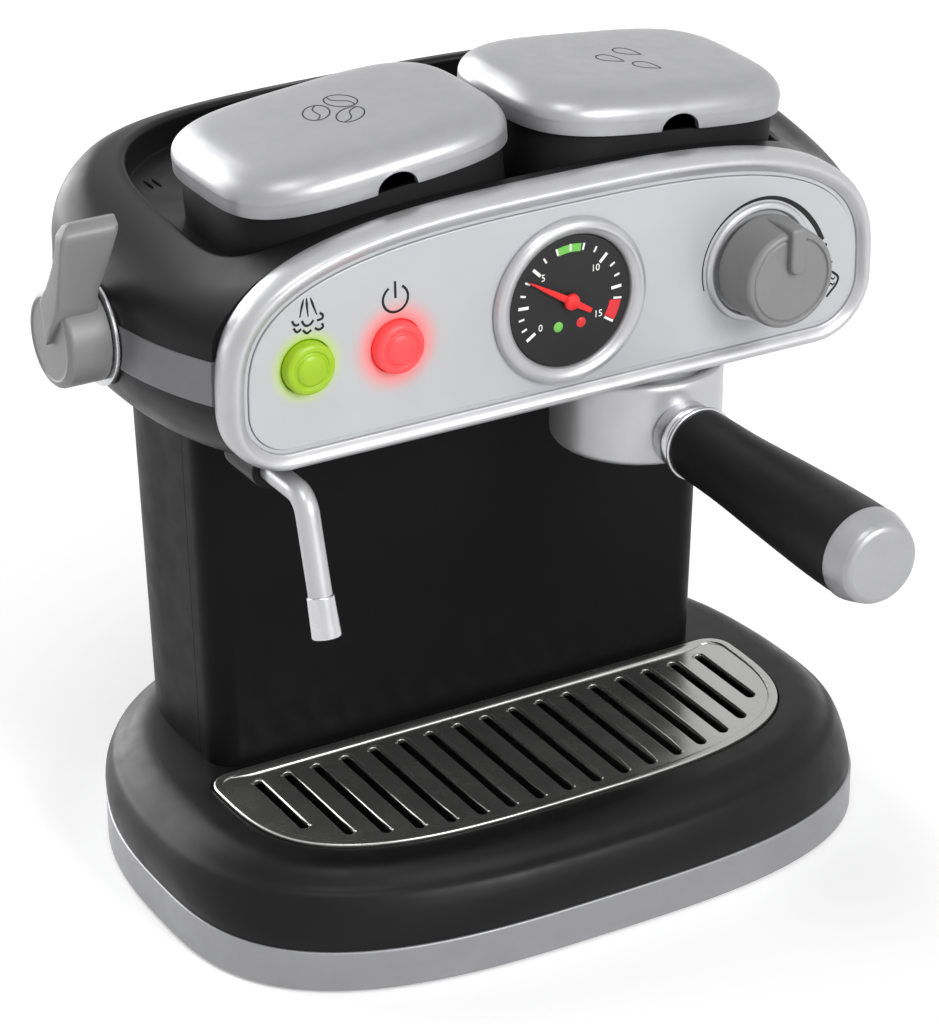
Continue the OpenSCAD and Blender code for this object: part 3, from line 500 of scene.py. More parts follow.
class NodeBench:
    """The node tree of one material, with short calls for the nodes that the finishes use."""

    def __init__(self, name: str) -> None:
        """Starts a material that holds a principled shader and object coordinates.

        Args:
            name: Name of the material.
        """
        self.material = bpy.data.materials.new(name)
        self.material.use_nodes = True
        self.tree = self.material.node_tree
        self.shader = self.tree.nodes["Principled BSDF"]
        self.place = self.tree.nodes.new("ShaderNodeTexCoord").outputs["Object"]

    def link(self, source: Socket, target: Socket) -> None:
        """Joins an output to an input."""
        self.tree.links.new(source, target)

    def noise(self, size: float, detail: float, stretch: Point = (1, 1, 1)) -> Socket:
        """Noise whose grains are about size millimetres across, drawn out along the axes of stretch.

        Args:
            size: Size of a grain in millimetres.
            detail: Octaves of finer noise.
            stretch: Scale of the pattern on each axis.

        Returns:
            The noise value, 0 to 1.
        """
        mapping = self.tree.nodes.new("ShaderNodeMapping")
        mapping.inputs["Scale"].default_value = stretch
        self.link(self.place, mapping.inputs["Vector"])
        node = self.tree.nodes.new("ShaderNodeTexNoise")
        node.inputs["Scale"].default_value = 1/(size*MM)
        node.inputs["Detail"].default_value = detail
        self.link(mapping.outputs["Vector"], node.inputs["Vector"])
        return node.outputs["Fac"]

    def span(self, value: Socket, low: float, high: float, start: float = 0.3, end: float = 0.7,
             soft: bool = False) -> Socket:
        """A value carried from the range start..end to low..high, eased at both ends where soft.

        Args:
            value: The value.
            low: Result at start.
            high: Result at end.
            start: Start of the range.
            end: End of the range.
            soft: Whether the ends are eased.

        Returns:
            The carried value.
        """
        node = self.tree.nodes.new("ShaderNodeMapRange")
        node.interpolation_type = "SMOOTHSTEP" if soft else "LINEAR"
        for name, number in (("From Min", start), ("From Max", end), ("To Min", low), ("To Max", high)):
            node.inputs[name].default_value = number
        self.link(value, node.inputs["Value"])
        return node.outputs["Result"]

    def mixed(self, share: Socket, first: Colour | Socket,
              second: Colour) -> Socket:
        """Two colours mixed by a share from 0 to 1.

        Args:
            share: How much of the second colour shows.
            first: A colour or the output that gives it.
            second: The other colour.

        Returns:
            The mixed colour.
        """
        node = self.tree.nodes.new("ShaderNodeMix")
        node.data_type = "RGBA"
        self.link(share, node.inputs[0])
        if isinstance(first, tuple):
            node.inputs[6].default_value = (*first, 1)
        else:
            self.link(first, node.inputs[6])
        node.inputs[7].default_value = (*second, 1)
        return node.outputs[2]

    def near(self, spot: Point) -> Socket:
        """Distance in metres from a spot given in millimetres.

        Args:
            spot: The spot.

        Returns:
            The distance.
        """
        node = self.tree.nodes.new("ShaderNodeVectorMath")
        node.operation = "DISTANCE"
        node.inputs[1].default_value = [c*MM for c in spot]
        self.link(self.place, node.inputs[0])
        return node.outputs["Value"]

    def relief(self, height: Socket, strength: float, depth: float) -> None:
        """Bumps the surface by a height, depth millimetres at most.

        Args:
            height: Height from 0 to 1.
            strength: How strongly it shades.
            depth: Height of the highest bump.
        """
        node = self.tree.nodes.new("ShaderNodeBump")
        node.inputs["Strength"].default_value = strength
        node.inputs["Distance"].default_value = depth*MM
        self.link(height, node.inputs["Height"])
        self.link(node.outputs["Normal"], self.shader.inputs["Normal"])

    def set(self, **values: float | tuple) -> None:
        """Sets constants on the shader's own sockets."""
        names = {"roughness": "Roughness", "metallic": "Metallic", "specular": "Specular IOR Level",
                 "coat": "Coat Weight", "coat_roughness": "Coat Roughness", "glow": "Emission Strength",
                 "glow_colour": "Emission Color", "through": "Transmission Weight", "ior": "IOR"}
        for key, value in values.items():
            self.shader.inputs[names[key]].default_value = value


@dataclass(frozen=True)
class Finish:
    """A finish: its colour, its gloss and the fine texture of its surface."""
    name: str
    slot: str
    colour: Colour
    roughness: float
    metallic: float = 0.0
    specular: float = 0.5
    mottle: float = 0.06
    patch: float = 14.0
    grain: float = 0.35
    relief: float = 0.12
    depth: float = 0.03
    unevenness: float = 0.05
    coat: float = 0.0
    coat_roughness: float = 0.12
    texture: Texture = Texture.EVEN

    def extras(self, bench: NodeBench, colour: Socket) -> Socket:
        """What a kind of finish adds to its colour."""
        return colour

    def material(self) -> bpy.types.Material:
        """The finish as a material, made once: cloudy patches and fine grain vary its colour, slow patches
        vary its roughness, and the grain bumps its surface.

        Returns:
            The material.
        """
        label = f"{self.name}_finish"
        made = bpy.data.materials.get(label)
        if made:
            return made
        bench = NodeBench(label)
        grain = bench.noise(self.grain, 3, self.texture.value)
        cloud = bench.noise(self.patch, 4)
        dark = tuple(c*(1 - self.mottle) for c in self.colour)
        light = tuple(min(c*(1 + self.mottle), 1.0) for c in self.colour)
        darker = tuple(c*(1 - 0.8*self.mottle) for c in self.colour)
        colour = bench.mixed(bench.span(cloud, 0, 1), dark, light)
        colour = bench.mixed(bench.span(grain, 0.45, 0, 0.3, 0.6), colour, darker)
        bench.link(self.extras(bench, colour), bench.shader.inputs["Base Color"])
        slow = bench.noise(self.patch*0.6, 3)
        bench.link(bench.span(slow, self.roughness - self.unevenness, self.roughness + self.unevenness),
                   bench.shader.inputs["Roughness"])
        bench.relief(grain, self.relief, self.depth)
        bench.set(metallic=self.metallic, specular=self.specular, coat=self.coat,
                  coat_roughness=self.coat_roughness)
        return bench.material

    def dress(self, piece: bpy.types.Object) -> None:
        """Puts the finish on a piece."""
        piece.data.materials.append(self.material())


@dataclass(frozen=True)
class LampFinish(Finish):
    """A lit plastic: its colour also glows a little."""
    glow: float = 0.35

    def extras(self, bench: NodeBench, colour: Socket) -> Socket:
        """Sets the glow on the shader's own sockets."""
        bench.set(glow=self.glow, glow_colour=(*self.colour, 1.0))
        return colour


@dataclass(frozen=True)
class PaintedGlowFinish(Finish):
    """A pale panel with painted glow on it: a soft coloured halo of light round each lit button, mixed into its
    colour.
    """
    painted_glows: tuple[tuple[Point, float, float, Colour], ...] = ()

    def extras(self, bench: NodeBench, colour: Socket) -> Socket:
        """Mixes each painted glow's colour in by distance: full at its inner radius, none at its outer one.

        Args:
            bench: The node tree.
            colour: Colour of the bare panel.

        Returns:
            The panel's colour with its painted glows.
        """
        # Each painted glow is the light of a lit button, painted onto the panel's colour.
        for spot, inner, outer, glow_tint in self.painted_glows:
            share = bench.span(bench.near(spot), 0.85, 0, inner*MM, outer*MM, soft=True)
            colour = bench.mixed(share, colour, glow_tint)
        return colour


@dataclass(frozen=True)
class ClearFinish(Finish):
    """A see-through plastic."""

    def extras(self, bench: NodeBench, colour: Socket) -> Socket:
        """Lets light through."""
        bench.set(through=0.85, ior=1.45)
        return colour


BLACK_SHELL = Finish("black_shell", "black_shell", tone(19, 19, 20), 0.4, specular=0.17, grain=0.5, relief=0.1)
# A darker copy of the shell's black for the tower: its slightly darker colour is painted shade, and its lower
# specular dulls its reflections.
SHADED_TOWER_BLACK = Finish("tower_black_shaded", "black_shell", tone(17, 17, 18), 0.44, specular=0.07, grain=0.5, relief=0.1)
# Near-black strips that stand in for the shade inside the vent slots: painted shade.
VENT_SHADE = Finish("vent_shade", "black_matte", tone(7, 7, 7), 0.7, specular=0.05, grain=0.3)
BLACK_MATTE = Finish("black_matte", "black_matte", tone(17, 17, 18), 0.6, specular=0.15, grain=0.6, relief=0.2)
BLACK_GRIP = Finish("black_grip", "black_matte", tone(19, 19, 20), 0.46, specular=0.2, grain=0.6, relief=0.15)
# A darker copy of the satin silver, for the lids and the handle's cap: painted shade.
SHADED_LID_SILVER = Finish("lid_silver_shaded", "silver_satin", tone(164, 164, 166), 0.36, metallic=0.55, mottle=0.04,
                    patch=9, grain=0.12, relief=0.1, depth=0.01)
SATIN_SILVER = replace(SHADED_LID_SILVER, name="satin_silver", colour=tone(186, 186, 188))
# The head stripe's silver is a darker copy of the band's brushed silver: painted shade.
SHADED_STRIPE_SILVER = Finish("stripe_silver_shaded", "silver_brushed", tone(114, 114, 116), 0.42, metallic=0.5, mottle=0.05,
                       grain=0.25, relief=0.12, depth=0.012, texture=Texture.LEVEL)
BRUSHED_SILVER = replace(SHADED_STRIPE_SILVER, name="brushed_silver", colour=tone(150, 150, 152), metallic=0.6)
GRILLE_SILVER = Finish("grille_silver", "grille_silver", tone(178, 178, 176), 0.26, metallic=0.92, mottle=0.05,
                       patch=20, grain=0.3, relief=0.06, depth=0.01, texture=Texture.ALONG_Y)
CHROME = Finish("bright_chrome", "bright_chrome", tone(200, 200, 202), 0.24, metallic=0.85, mottle=0.03,
                grain=0.2, relief=0.05, depth=0.008)
DIAL_BLACK = Finish("dial_black", "dial_black", tone(30, 30, 31), 0.5, specular=0.3, grain=0.3, relief=0.1)
KNOB_GREY = Finish("knob_grey", "knob_grey", tone(126, 126, 126), 0.44, metallic=0.1, mottle=0.05, grain=0.3,
                   relief=0.14)
INK_BLACK = Finish("ink_black", "black_matte", tone(16, 16, 17), 0.55, specular=0.3, grain=0.2)
INK_WHITE = Finish("ink_white", "lamp_white", tone(238, 238, 236), 0.5, grain=0.2)
INK_GREEN = Finish("ink_green", "button_green", tone(110, 190, 80), 0.5, grain=0.2)
INK_RED = Finish("ink_red", "needle_red", tone(214, 40, 48), 0.45, grain=0.2)
NEEDLE_RED = Finish("needle_red", "needle_red", tone(232, 38, 40), 0.35, mottle=0.08, patch=3, grain=0.2)
GREEN_CAP = LampFinish("green_cap", "button_green", tone(146, 184, 4), 0.36, mottle=0.06, patch=6, grain=0.3,
                       coat=0.1, glow=0.12)
RED_CAP = LampFinish("red_cap", "button_red", tone(240, 66, 68), 0.4, mottle=0.04, patch=6, grain=0.3,
                     coat=0.05, glow=0.3)
RUBBER = Finish("rubber_grey", "rubber_grey", tone(70, 70, 70), 0.85, specular=0.2, grain=0.5, relief=0.3)
WHITE_PLASTIC = Finish("white_plastic", "white_plastic", tone(226, 224, 216), 0.4, mottle=0.03, grain=0.4)
HOSE = ClearFinish("hose_clear", "hose_clear", tone(224, 228, 226), 0.2, mottle=0.03, grain=0.6, relief=0.05)
STEEL = Finish("steel", "steel", tone(150, 150, 152), 0.3, metallic=1.0, mottle=0.08, patch=2, grain=0.15)
SPRING = Finish("spring_steel", "spring_steel", tone(165, 165, 168), 0.25, metallic=1.0, mottle=0.08, patch=2,
                grain=0.1)
CELL_WRAP = Finish("cell_wrap", "cell_wrap", tone(150, 104, 42), 0.35, metallic=0.3, mottle=0.12, patch=8,
                   coat=0.4)
NICKEL = Finish("contact_nickel", "contact_nickel", tone(170, 166, 156), 0.3, metallic=1.0, mottle=0.08,
                patch=3)
BOARD = Finish("board_green", "board_green", tone(28, 84, 44), 0.4, mottle=0.25, patch=2.5, grain=0.4, coat=0.3)
LAMP = LampFinish("lamp_white", "lamp_white", tone(240, 238, 228), 0.2, mottle=0.03, glow=0.2)


# ---- Sub-assemblies ----

@dataclass
class Assembly:
    """A sub-assembly: the pieces it has made, in the order it made them."""
    pieces: list[bpy.types.Object] = field(default_factory=list, init=False)

    def fit(self, name: str, surface: Surface, finish: Finish, body: str, *nodes: str,
            crease: float = 32.0) -> bpy.types.Object:
        """Makes a piece, dresses it, sets it on its body and lets it stand for its solids.

        Args:
            name: Name of the piece.
            surface: Its surface.
            finish: Its finish.
            body: The body that carries it.
            nodes: Solids that it stands for.
            crease: Edges sharper than this angle stay sharp, in degrees.

        Returns:
            The finished piece.
        """
        piece = make(name, surface, crease)
        finish.dress(piece)
        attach(piece, body)
        if nodes:
            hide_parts(*nodes)
        self.pieces.append(piece)
        return piece

    def report(self) -> None:
        """Logs each piece with its number of faces."""
        for piece in self.pieces:
            LOG.info("%s: %s, %d faces", type(self).__name__, piece.name, len(piece.data.polygons))


@dataclass
class Base(Assembly):
    """The base: a silver plinth band under a black shell whose shoulder rolls in to a flat deck."""
    width: float = 232.0
    depth: float = 182.0
    middle: float = -15.0
    power: float = 3.0
    rear_power: float = 2.5
    band: float = 13.2
    deck: float = 35.2
    wall: float = 2.4
    feet: tuple = ((-88, -50), (88, -50), (-80, 52), (80, 52))
    foot_radius: float = 7.2
    bosses: tuple = ((-101, -20), (101, -20), (-60, 70), (60, 70))
    boss_radius: float = 3.5
    door: tuple = (-29.0, 12.0, 29.0, 58.0)
    tab: tuple = (-6.3, 2.0, 6.3)
    speaker: tuple = (66.0, 24.0)
    sound_ring: float = 8.0
    sound_radius: float = 1.2
    count: int = 240

    def ring(self, offset: float, rounder: float = 0.0) -> Array:
        """The base's outline: two halves of superellipses, the front one with a smaller exponent where it is
        rounder.

        Args:
            offset: Distance outwards.
            rounder: How much the front's exponent is smaller.

        Returns:
            The outline.
        """
        front, rear = self.depth/2 + self.middle + offset, self.depth/2 - self.middle + offset
        return oval(self.width/2 + offset, self.middle, front, rear, self.power - rounder, self.rear_power,
                    around(self.count))

    def door_opening(self, offset: float) -> Array:
        """The battery opening: a rectangle with a tab's notch in its front edge.

        Args:
            offset: Distance outwards.

        Returns:
            The outline.
        """
        x0, y0 = np.array(self.door[:2]) - offset
        x1, y1 = np.array(self.door[2:]) + offset
        left, low, right = np.array(self.tab) + [-offset, -offset, offset]
        return bead(0.8, (x0, y0), (left, y0), (left, low), (right, low), (right, y0), (x1, y0), (x1, y1),
                    (x0, y1))

    def plinth(self) -> Surface:
        """The band with the base plate: the band's wall goes up from a rounded lower edge to a thin lip, and
        the plate below has holes for cover, feet, screws and sound.

        Returns:
            The surface of band and plate.
        """
        sound = np.array(self.speaker) + circle(self.sound_ring, 6)
        holes = [self.door_opening]
        holes += [hole(x, y, self.foot_radius, 32) for x, y in self.feet]
        holes += [hole(x, y, self.boss_radius, 32) for x, y in self.bosses]
        holes += [hole(x, y, self.sound_radius, 16) for x, y in sound]
        floor = plate(lambda o: self.ring(-self.wall/2 + o), holes, 0.02, self.wall, 0.2)
        section = bead(0.7, (-1.6, 0), (0.4, 0), (0.4, self.band), (-1.2, self.band), (-self.wall, self.band),
                       (-self.wall, 0.6), (-1.6, 0.3))
        return floor + hoop(self.ring, section)

    def shoulder(self) -> Array:
        """The shell's section as offsets and heights, and how much rounder the outline is there: up from the
        band, over a full shoulder and on to the deck.

        Returns:
            Rows of offset, height and roundness.
        """
        b, d = self.band, self.deck
        return smooth(points(
            (-0.1, b + 0.15, 0.02), (0.3, b + 3, 0.12), (0.45, b + 6, 0.25), (0.2, b + 9, 0.35),
            (-0.6, b + 12, 0.4), (-2.2, b + 15.2, 0.42), (-4.6, d - 5, 0.4), (-7.8, d - 2.2, 0.3),
            (-11, d - 0.6, 0.15), (-14.5, d, 0), (-19, d, 0)), 5)

    def shell(self, tray: "DripTray") -> Surface:
        """The black shell: the shoulder's section carried round the outline, a flat deck with the tray's
        opening and its ledge, and a skin below.

        Args:
            tray: The tray, whose outline opens the deck.

        Returns:
            The closed surface.
        """
        rings = [level(self.ring(o, rounder=n), z) for o, z, n in self.shoulder()[:-5]]
        rim = [level(tray.ring(o), z) for o, z in
               ((1.1, self.deck), (0.8, self.deck), (0.55, self.deck - 0.12), (0.4, self.deck - 0.4),
                (0.4, tray.flange), (-3, tray.flange), (-3, self.deck - self.wall - 0.6))]
        inner = [level(self.ring(o), z) for o, z in ((-19, self.deck - self.wall), (-9, self.deck - 4.4),
                 (-6.6, self.deck - 8), (-4, self.deck - 13), (-2.6, self.band + 3), (-2.6, self.band + 0.15))]
        walls = [skin(part, caps=False) for part in (rings, rim, inner)]
        deck, below = filled([rings[-1], rim[0]]), filled([inner[0], rim[-1]])
        foot = skin([rings[0], inner[-1]], caps=False)
        return joined([*walls, deck, below, foot])

    def build(self, tray: "DripTray") -> None:
        """Makes the plinth and the shell."""
        self.fit("plinth_band", self.plinth(), BRUSHED_SILVER, "housing", "bottom_tray")
        self.fit("base_shoulder", self.shell(tray), BLACK_SHELL, "housing", "base_shell")


@dataclass
class DripTray(Assembly):
    """The D-shaped drip tray and the slotted silver grille that lies in it."""
    half: float = 93.5
    front: float = -69.5
    rear: float = -3.5
    flange: float = 33.4
    grille: float = 34.4
    top: float = 36.2
    floor: float = 19.2
    pitch: float = 10.0
    slot: float = 3.0
    slots: int = 17
    slot_end: float = 8.5
    border: float = 5.3
    field_half: float = 85.5
    corner: float = 8.0
    middle: float = -14.0
    power: float = 3.2
    count: int = 240

    def ring(self, offset: float) -> Array:
        """The D outline, in even steps: a straight rear edge with round corners, and a front that is half a
        superellipse.

        Args:
            offset: Distance outwards.

        Returns:
            The outline.
        """
        w, y1, r = self.half + offset, self.rear + offset, self.corner + offset
        depth = self.middle - self.front + offset
        bow = oval(w, self.middle, depth, depth, self.power, self.power, np.linspace(np.pi, TURN, 161))
        outline = [bow, arc((w - r, y1 - r), r, 0, 90, 14), arc((r - w, y1 - r), r, 90, 180, 14)]
        return spread(np.vstack(outline), self.count)

    def slot_ends(self, x: float) -> tuple[float, float]:
        """Centres of the half circles that end the slot at x, in front and at the rear; the front one keeps
        a border inside the outline.

        Args:
            x: Where the slot lies.

        Returns:
            Both centres in Y.
        """
        reach = self.middle - self.front - self.border
        bow = reach*(1 - (abs(x)/self.field_half)**self.power)**(1/self.power)
        return self.middle - bow + self.slot/2, self.rear - self.slot_end - self.slot/2

    def slot_hole(self, x: float) -> Outline:
        """A slot's outline: two half circles joined by straight sides."""
        (y0, y1), r = self.slot_ends(x), self.slot/2
        return lambda o: np.vstack([arc((x, y1), r + o, 0, 180, 13), arc((x, y0), r + o, 180, 360, 13)])

    def basin(self) -> Surface:
        """The tray: a flange that lies on the ledge, walls and a floor, as one shell.

        Returns:
            The closed surface.
        """
        z0, z1, z2 = self.floor, self.flange, self.grille
        section = bead(0.8, (0, z2), (0, z1), (-3.4, z1), (-3.4, z0), (-60, z0), (-60, z0 + 1.8),
                       (-5.2, z0 + 1.8), (-5.2, z2), steps=3)
        return hoop(self.basin_ring, section)

    def basin_ring(self, offset: float) -> Array:
        """The D outline, which shrinks towards its middle for large offsets."""
        middle = np.array([0, (self.front + self.rear)/2])
        return self.ring(offset) if offset > -10 else middle + 0.001*(self.ring(-5) - middle)

    def lid(self) -> Surface:
        """The grille: a thin plate with pressed slots, a round lip that rises along each slot's right side and
        hooks round its rear end, a raised rim round the outline and a broad ridge along the rear.

        Returns:
            The surfaces of plate, rim, lips and ridge.
        """
        xs = [(i - (self.slots - 1)/2)*self.pitch for i in range(self.slots)]
        holes, field_top = [self.slot_hole(x) for x in xs], self.top - 0.6
        sheet = plate(lambda o: self.ring(o - 0.4), holes, self.grille, field_top, 0.25)
        rim = bead(0.7, (0, self.grille), (0, self.top), (-2.4, self.top), (-3.0, field_top - 0.1),
                   (-3.0, self.grille + 0.1), steps=5)
        y, end, steps = self.rear - 2.6, self.field_half, np.arange(60)
        ridge = np.linspace((-end, y, field_top), (end, y, field_top), 60)
        thinning = np.minimum(1, 0.25 + np.minimum(steps, steps[::-1])/3)
        return joined([sheet, hoop(self.ring, rim), *(self.lip(x, field_top) for x in xs),
                       along(ridge, circle(1.0, 24)*[2.0, 0.95], (0, 0, 1), thinning)])

    def lip(self, x: float, height: float) -> Surface:
        """A half-round lip along the right side of the slot at x, hooked round its rear end; it thins out
        towards both of its ends.

        Args:
            x: Where the slot lies.
            height: Height of the plate.

        Returns:
            The closed surface.
        """
        (y0, y1), r = self.slot_ends(x), self.slot/2 + 0.5
        side = np.column_stack([np.full(14, x + r), np.linspace(y0 - 0.6, y1, 14)])
        line = level(np.vstack([side, arc((x, y1), r, 0, 160, 11)[1:]]), height)
        size = np.interp(np.arange(len(line)), [0, 2, 14, len(line) - 1], [0.35, 1, 0.9, 0.35])
        return along(line, circle(0.95, 12)*[1, 0.75], (0, 0, 1), size)

    def build(self) -> None:
        """Makes the tray and its grille."""
        self.fit("tray_basin", self.basin(), BLACK_MATTE, "tray", "drip_tray")
        self.fit("slotted_grille", self.lid(), GRILLE_SILVER, "grille", "drip_grille", crease=40)


@dataclass
class Tower(Assembly):
    """The black tower between base and head: a front half and a rear half with a fine joint."""
    half: float = 87.0
    front: float = -1.0
    depth: float = 79.0
    flare: float = 3.2
    low: float = 35.2
    high: float = 161.2
    split: float = 12.0
    front_corner: float = 9.0
    rear_corner: float = 45.0
    wall: float = 2.4

    def back(self, flare: float, offset: float) -> Array:
        """The outline of the rear half: two sides and a back with large round corners.

        Args:
            flare: How far the sides stand out at this height.
            offset: How far outside the wall.

        Returns:
            The open outline.
        """
        w, r = self.half + flare + offset, self.rear_corner + offset
        y = self.front + self.depth + flare + offset
        side = np.linspace(self.split + 0.1, y - r - 0.5, 6)
        return np.vstack([np.column_stack([np.full(6, w), side]), arc((w - r, y - r), r, 0, 90, 33),
                          arc((r - w, y - r), r, 90, 180, 33), np.column_stack([np.full(6, -w), side[::-1]])])

    def face(self, flare: float, offset: float) -> Array:
        """The outline of the front half: a flat face between two small round corners.

        Args:
            flare: How far the sides stand out at this height.
            offset: How far outside the wall.

        Returns:
            The open outline.
        """
        w, y, r = self.half + flare + offset, self.front - offset, self.front_corner + offset
        return np.vstack([[[-w, self.split - 0.1]], arc((r - w, y + r), r, 180, 270, 14),
                          np.column_stack([np.linspace(r - w + 1, w - r - 1, 9), np.full(9, y)]),
                          arc((w - r, y + r), r, 270, 360, 14), [[w, self.split - 0.1]]])

    def half_shell(self, outline: Callable[[float, float], Array]) -> Surface:
        """A wall between an outline and the same outline moved inwards, lofted from foot to top.

        Args:
            outline: The outline for a flare and an offset.

        Returns:
            The closed wall.
        """
        rings = []
        for share in (0, 0.5, 1):
            outer, inner = (outline(share*self.flare, offset) for offset in (0, -self.wall))
            rings.append(level(np.vstack([outer, inner[::-1]]), self.low + share*(self.high - self.low)))
        return skin(rings)

    def build(self) -> None:
        """Makes both halves."""
        # The tower's finish is a darker copy of the shell's black: painted shade.
        self.fit("tower_face", self.half_shell(self.face), SHADED_TOWER_BLACK, "housing", "tower_front")
        self.fit("tower_back", self.half_shell(self.back), SHADED_TOWER_BLACK, "housing", "tower_rear")


@dataclass
class Head(Assembly):
    """The head: a lower shell that curves in to the rim, a grey stripe and a dome with the hoppers' well."""
    half: float = 120.0
    middle: float = 10.0
    front: float = 108.0
    rear: float = 80.0
    power: float = 2.4
    rear_power: float = 2.46
    cut: float = -48.0
    rim: float = 161.2
    stripe: float = 181.2
    upper: float = 194.7
    crown: float = 183.2
    arch_height: float = 46.5
    arch_half: float = 108.3
    rear_crown: float = 223.0
    ease: float = 144.0
    dome: float = 11.5
    well: float = 212.2
    well_half: float = 95.0
    well_rear: float = 65.0
    well_powers: tuple = (5.5, 2.8)
    lip: float = 1.8
    vent_spots: tuple[float, ...] = (-83.3, -80.65)
    vent: tuple[float, float, float] = (41.3, 0.45, 3.5)
    wall: float = 2.4
    side_count: int = 200
    front_count: int = 50

    def rays(self, offset: float) -> Array:
        """Angles seen from the middle: even steps round the sides and rear from one end of the panel's cut
        to the other, then even steps along the cut.

        Args:
            offset: Distance outwards.

        Returns:
            The angles.
        """
        a, reach = self.half + offset, self.middle - self.cut
        x = a*(1 - (reach/(self.front + offset))**self.power)**(1/self.power)
        end = np.arctan2(reach, x)
        side = np.linspace(-end, np.pi + end, self.side_count)
        panel = np.pi*1.5 + np.arctan(np.linspace(-x/reach, x/reach, self.front_count + 2)[1:-1])
        return np.concatenate([side, panel])

    def ring(self, offset: float) -> Array:
        """The head's outline at an offset, cut straight for the panel.

        Args:
            offset: Distance outwards.

        Returns:
            The outline.
        """
        angles = self.rays(offset)
        full = oval(self.half + offset, self.middle, self.front + offset, self.rear + offset, self.power,
                    self.rear_power, angles)
        reach = full - [0, self.middle]
        limit = np.where(reach[:, 1] < -1e-6, (self.cut - self.middle)/np.minimum(reach[:, 1], -1e-6), 10.0)
        return [0, self.middle] + reach*np.minimum(limit, 1.0)[:, None]

    def arch(self, x: Array) -> Array:
        """Height of the panel's arch at x: a superellipse of exponent 3, which levels out softly near its
        ends so that the dome has no kink there."""
        u = np.abs(x)/self.arch_half
        return self.crown + self.arch_height*(1 - (u - np.logaddexp(0, 30*(u - 0.94))/30)**3)**(1/3)

    def top(self, flat: Array) -> Array:
        """Height of the dome's top: just under the arch at the panel, easing to a flatter crown that falls away
        to the rear.

        Args:
            flat: Points (x, y).

        Returns:
            A height for each point.
        """
        x, y = flat[:, 0], flat[:, 1]
        t = np.clip((y - self.cut)/self.ease, 0, 1)
        w = t*t*(3 - 2*t)
        rear = self.rear_crown + 1.4*(x/100)**2 - 3.7*(np.maximum(y - self.middle, 0)/77)**2
        return (1 - w)*(self.arch(x) - 0.8) + w*rear

    def well_ring(self, offset: float) -> Array:
        """The well's outline, on the same rays as the dome's inner edge.

        Args:
            offset: Distance outwards.

        Returns:
            The outline.
        """
        front = self.middle - self.cut - 5 + offset
        return oval(self.well_half + offset, self.middle, front, self.well_rear + offset, *self.well_powers,
                    self.rays(-self.dome))

    def lower_shell(self) -> Surface:
        """The lower shell: the outline's offset follows a smooth curve from the rim up to the stripe.

        Returns:
            The closed surface.
        """
        knots = points((-11.7, 0), (-8.2, 3.2), (-5, 7.3), (-2.5, 12), (-0.9, 16.3), (-0.2, 19.9))
        top = self.stripe - self.rim
        inside = [(-0.8, top), (-3.3, top), (-3.3, 16), (-9, 8), (-15, self.wall)]
        section = [(-13.2, 0.02), (-12.4, 0), *smooth(knots, 5)[1:], *inside]
        return skin([level(self.ring(o), self.rim + z) for o, z in section])

    def stripe_band(self) -> Surface:
        """The grey stripe: a band that stands a little proud, with rounded edges, open behind the panel.

        Returns:
            The closed surface.
        """
        section = bead(0.5, (0.35, self.stripe), (0.35, self.upper), (-2.9, self.upper), (-2.9, self.stripe))
        rings = np.array([level(self.ring(o)[:self.side_count], z) for o, z in section])
        count = list(range(len(section)))
        ends = [Surface(rings[:, 0], [count[::-1]]), Surface(rings[:, -1], [count])]
        return joined([skin(rings, ring_closed=False, loop=True), *ends])

    def dome_ring(self, offset: float, share: float) -> Array:
        """A ring of the dome's side, a share of the way up from the stripe to the dome's top."""
        flat = self.ring(offset)
        return level(flat, 0) + np.column_stack([0*flat, self.upper + share*(self.top(flat) - self.upper)])

    def upper_shell(self) -> Surface:
        """The dome: a quarter ellipse carries the side over to the top, the top runs in to the well's rolled
        lip, and the well goes down to its floor.

        Returns:
            The closed surface.
        """
        def topped(flat: Array, drop: float) -> Array:
            """A ring that lies a drop below the dome's top."""
            return np.column_stack([flat, self.top(flat) - drop])
        rings = [level(self.ring(-2.9), self.upper + z) for z in (2.4, 0)]
        rings += [self.dome_ring(0, share) for share in (0, 0.14)]
        rings += [self.dome_ring(-self.dome*(1 - np.cos(a)), 0.28 + 0.72*np.sin(a))
                  for a in np.linspace(0, np.pi/2, 18)]
        edge, lip, r = self.ring(-self.dome), self.well_ring(self.lip), self.lip
        rings += [topped(edge + share*(lip - edge), 0) for share in (0.12, 0.3, 0.5, 0.7, 0.88, 1.0)]
        rings += [topped(self.well_ring(r*(1 - np.sin(a))), r*(1 - np.cos(a)))
                  for a in np.radians([18, 36, 54, 72, 90])]
        rings.append(topped(self.well_ring(0), 2.4))
        foot = ((0, 1.2), (-0.3, 0.4), (-1.2, 0), (-30, 0))
        return skin(rings + [level(self.well_ring(o), self.well + z) for o, z in foot])

    def vents(self) -> Surface:
        """Two narrow vents in the well's floor beside the left hopper: raised near-black strips with round
        ends, painted shade that stands in for the vent slots.

        Returns:
            Both strips.
        """
        def outline(o: float) -> Array:
            """One strip's outline, about X = 0."""
            y, wide, long = self.vent
            return oval(wide + o, y, long + o, long + o, 5, 5, around(28))
        strip = plate(outline, [], self.well - 0.4, self.well + 0.25, 0.12)
        return joined([strip.placed(standing(x, 0)) for x in self.vent_spots])

    def build(self) -> None:
        """Makes the three shells of the head, and the vents."""
        self.fit("head_lower_shell", self.lower_shell(), BLACK_SHELL, "housing", "head_lower")
        self.fit("head_band", self.stripe_band(), SHADED_STRIPE_SILVER, "housing", "head_stripe")
        self.fit("head_dome", self.upper_shell(), BLACK_SHELL, "housing", "head_upper", crease=38)
        self.fit("head_vents", self.vents(), VENT_SHADE, "housing")


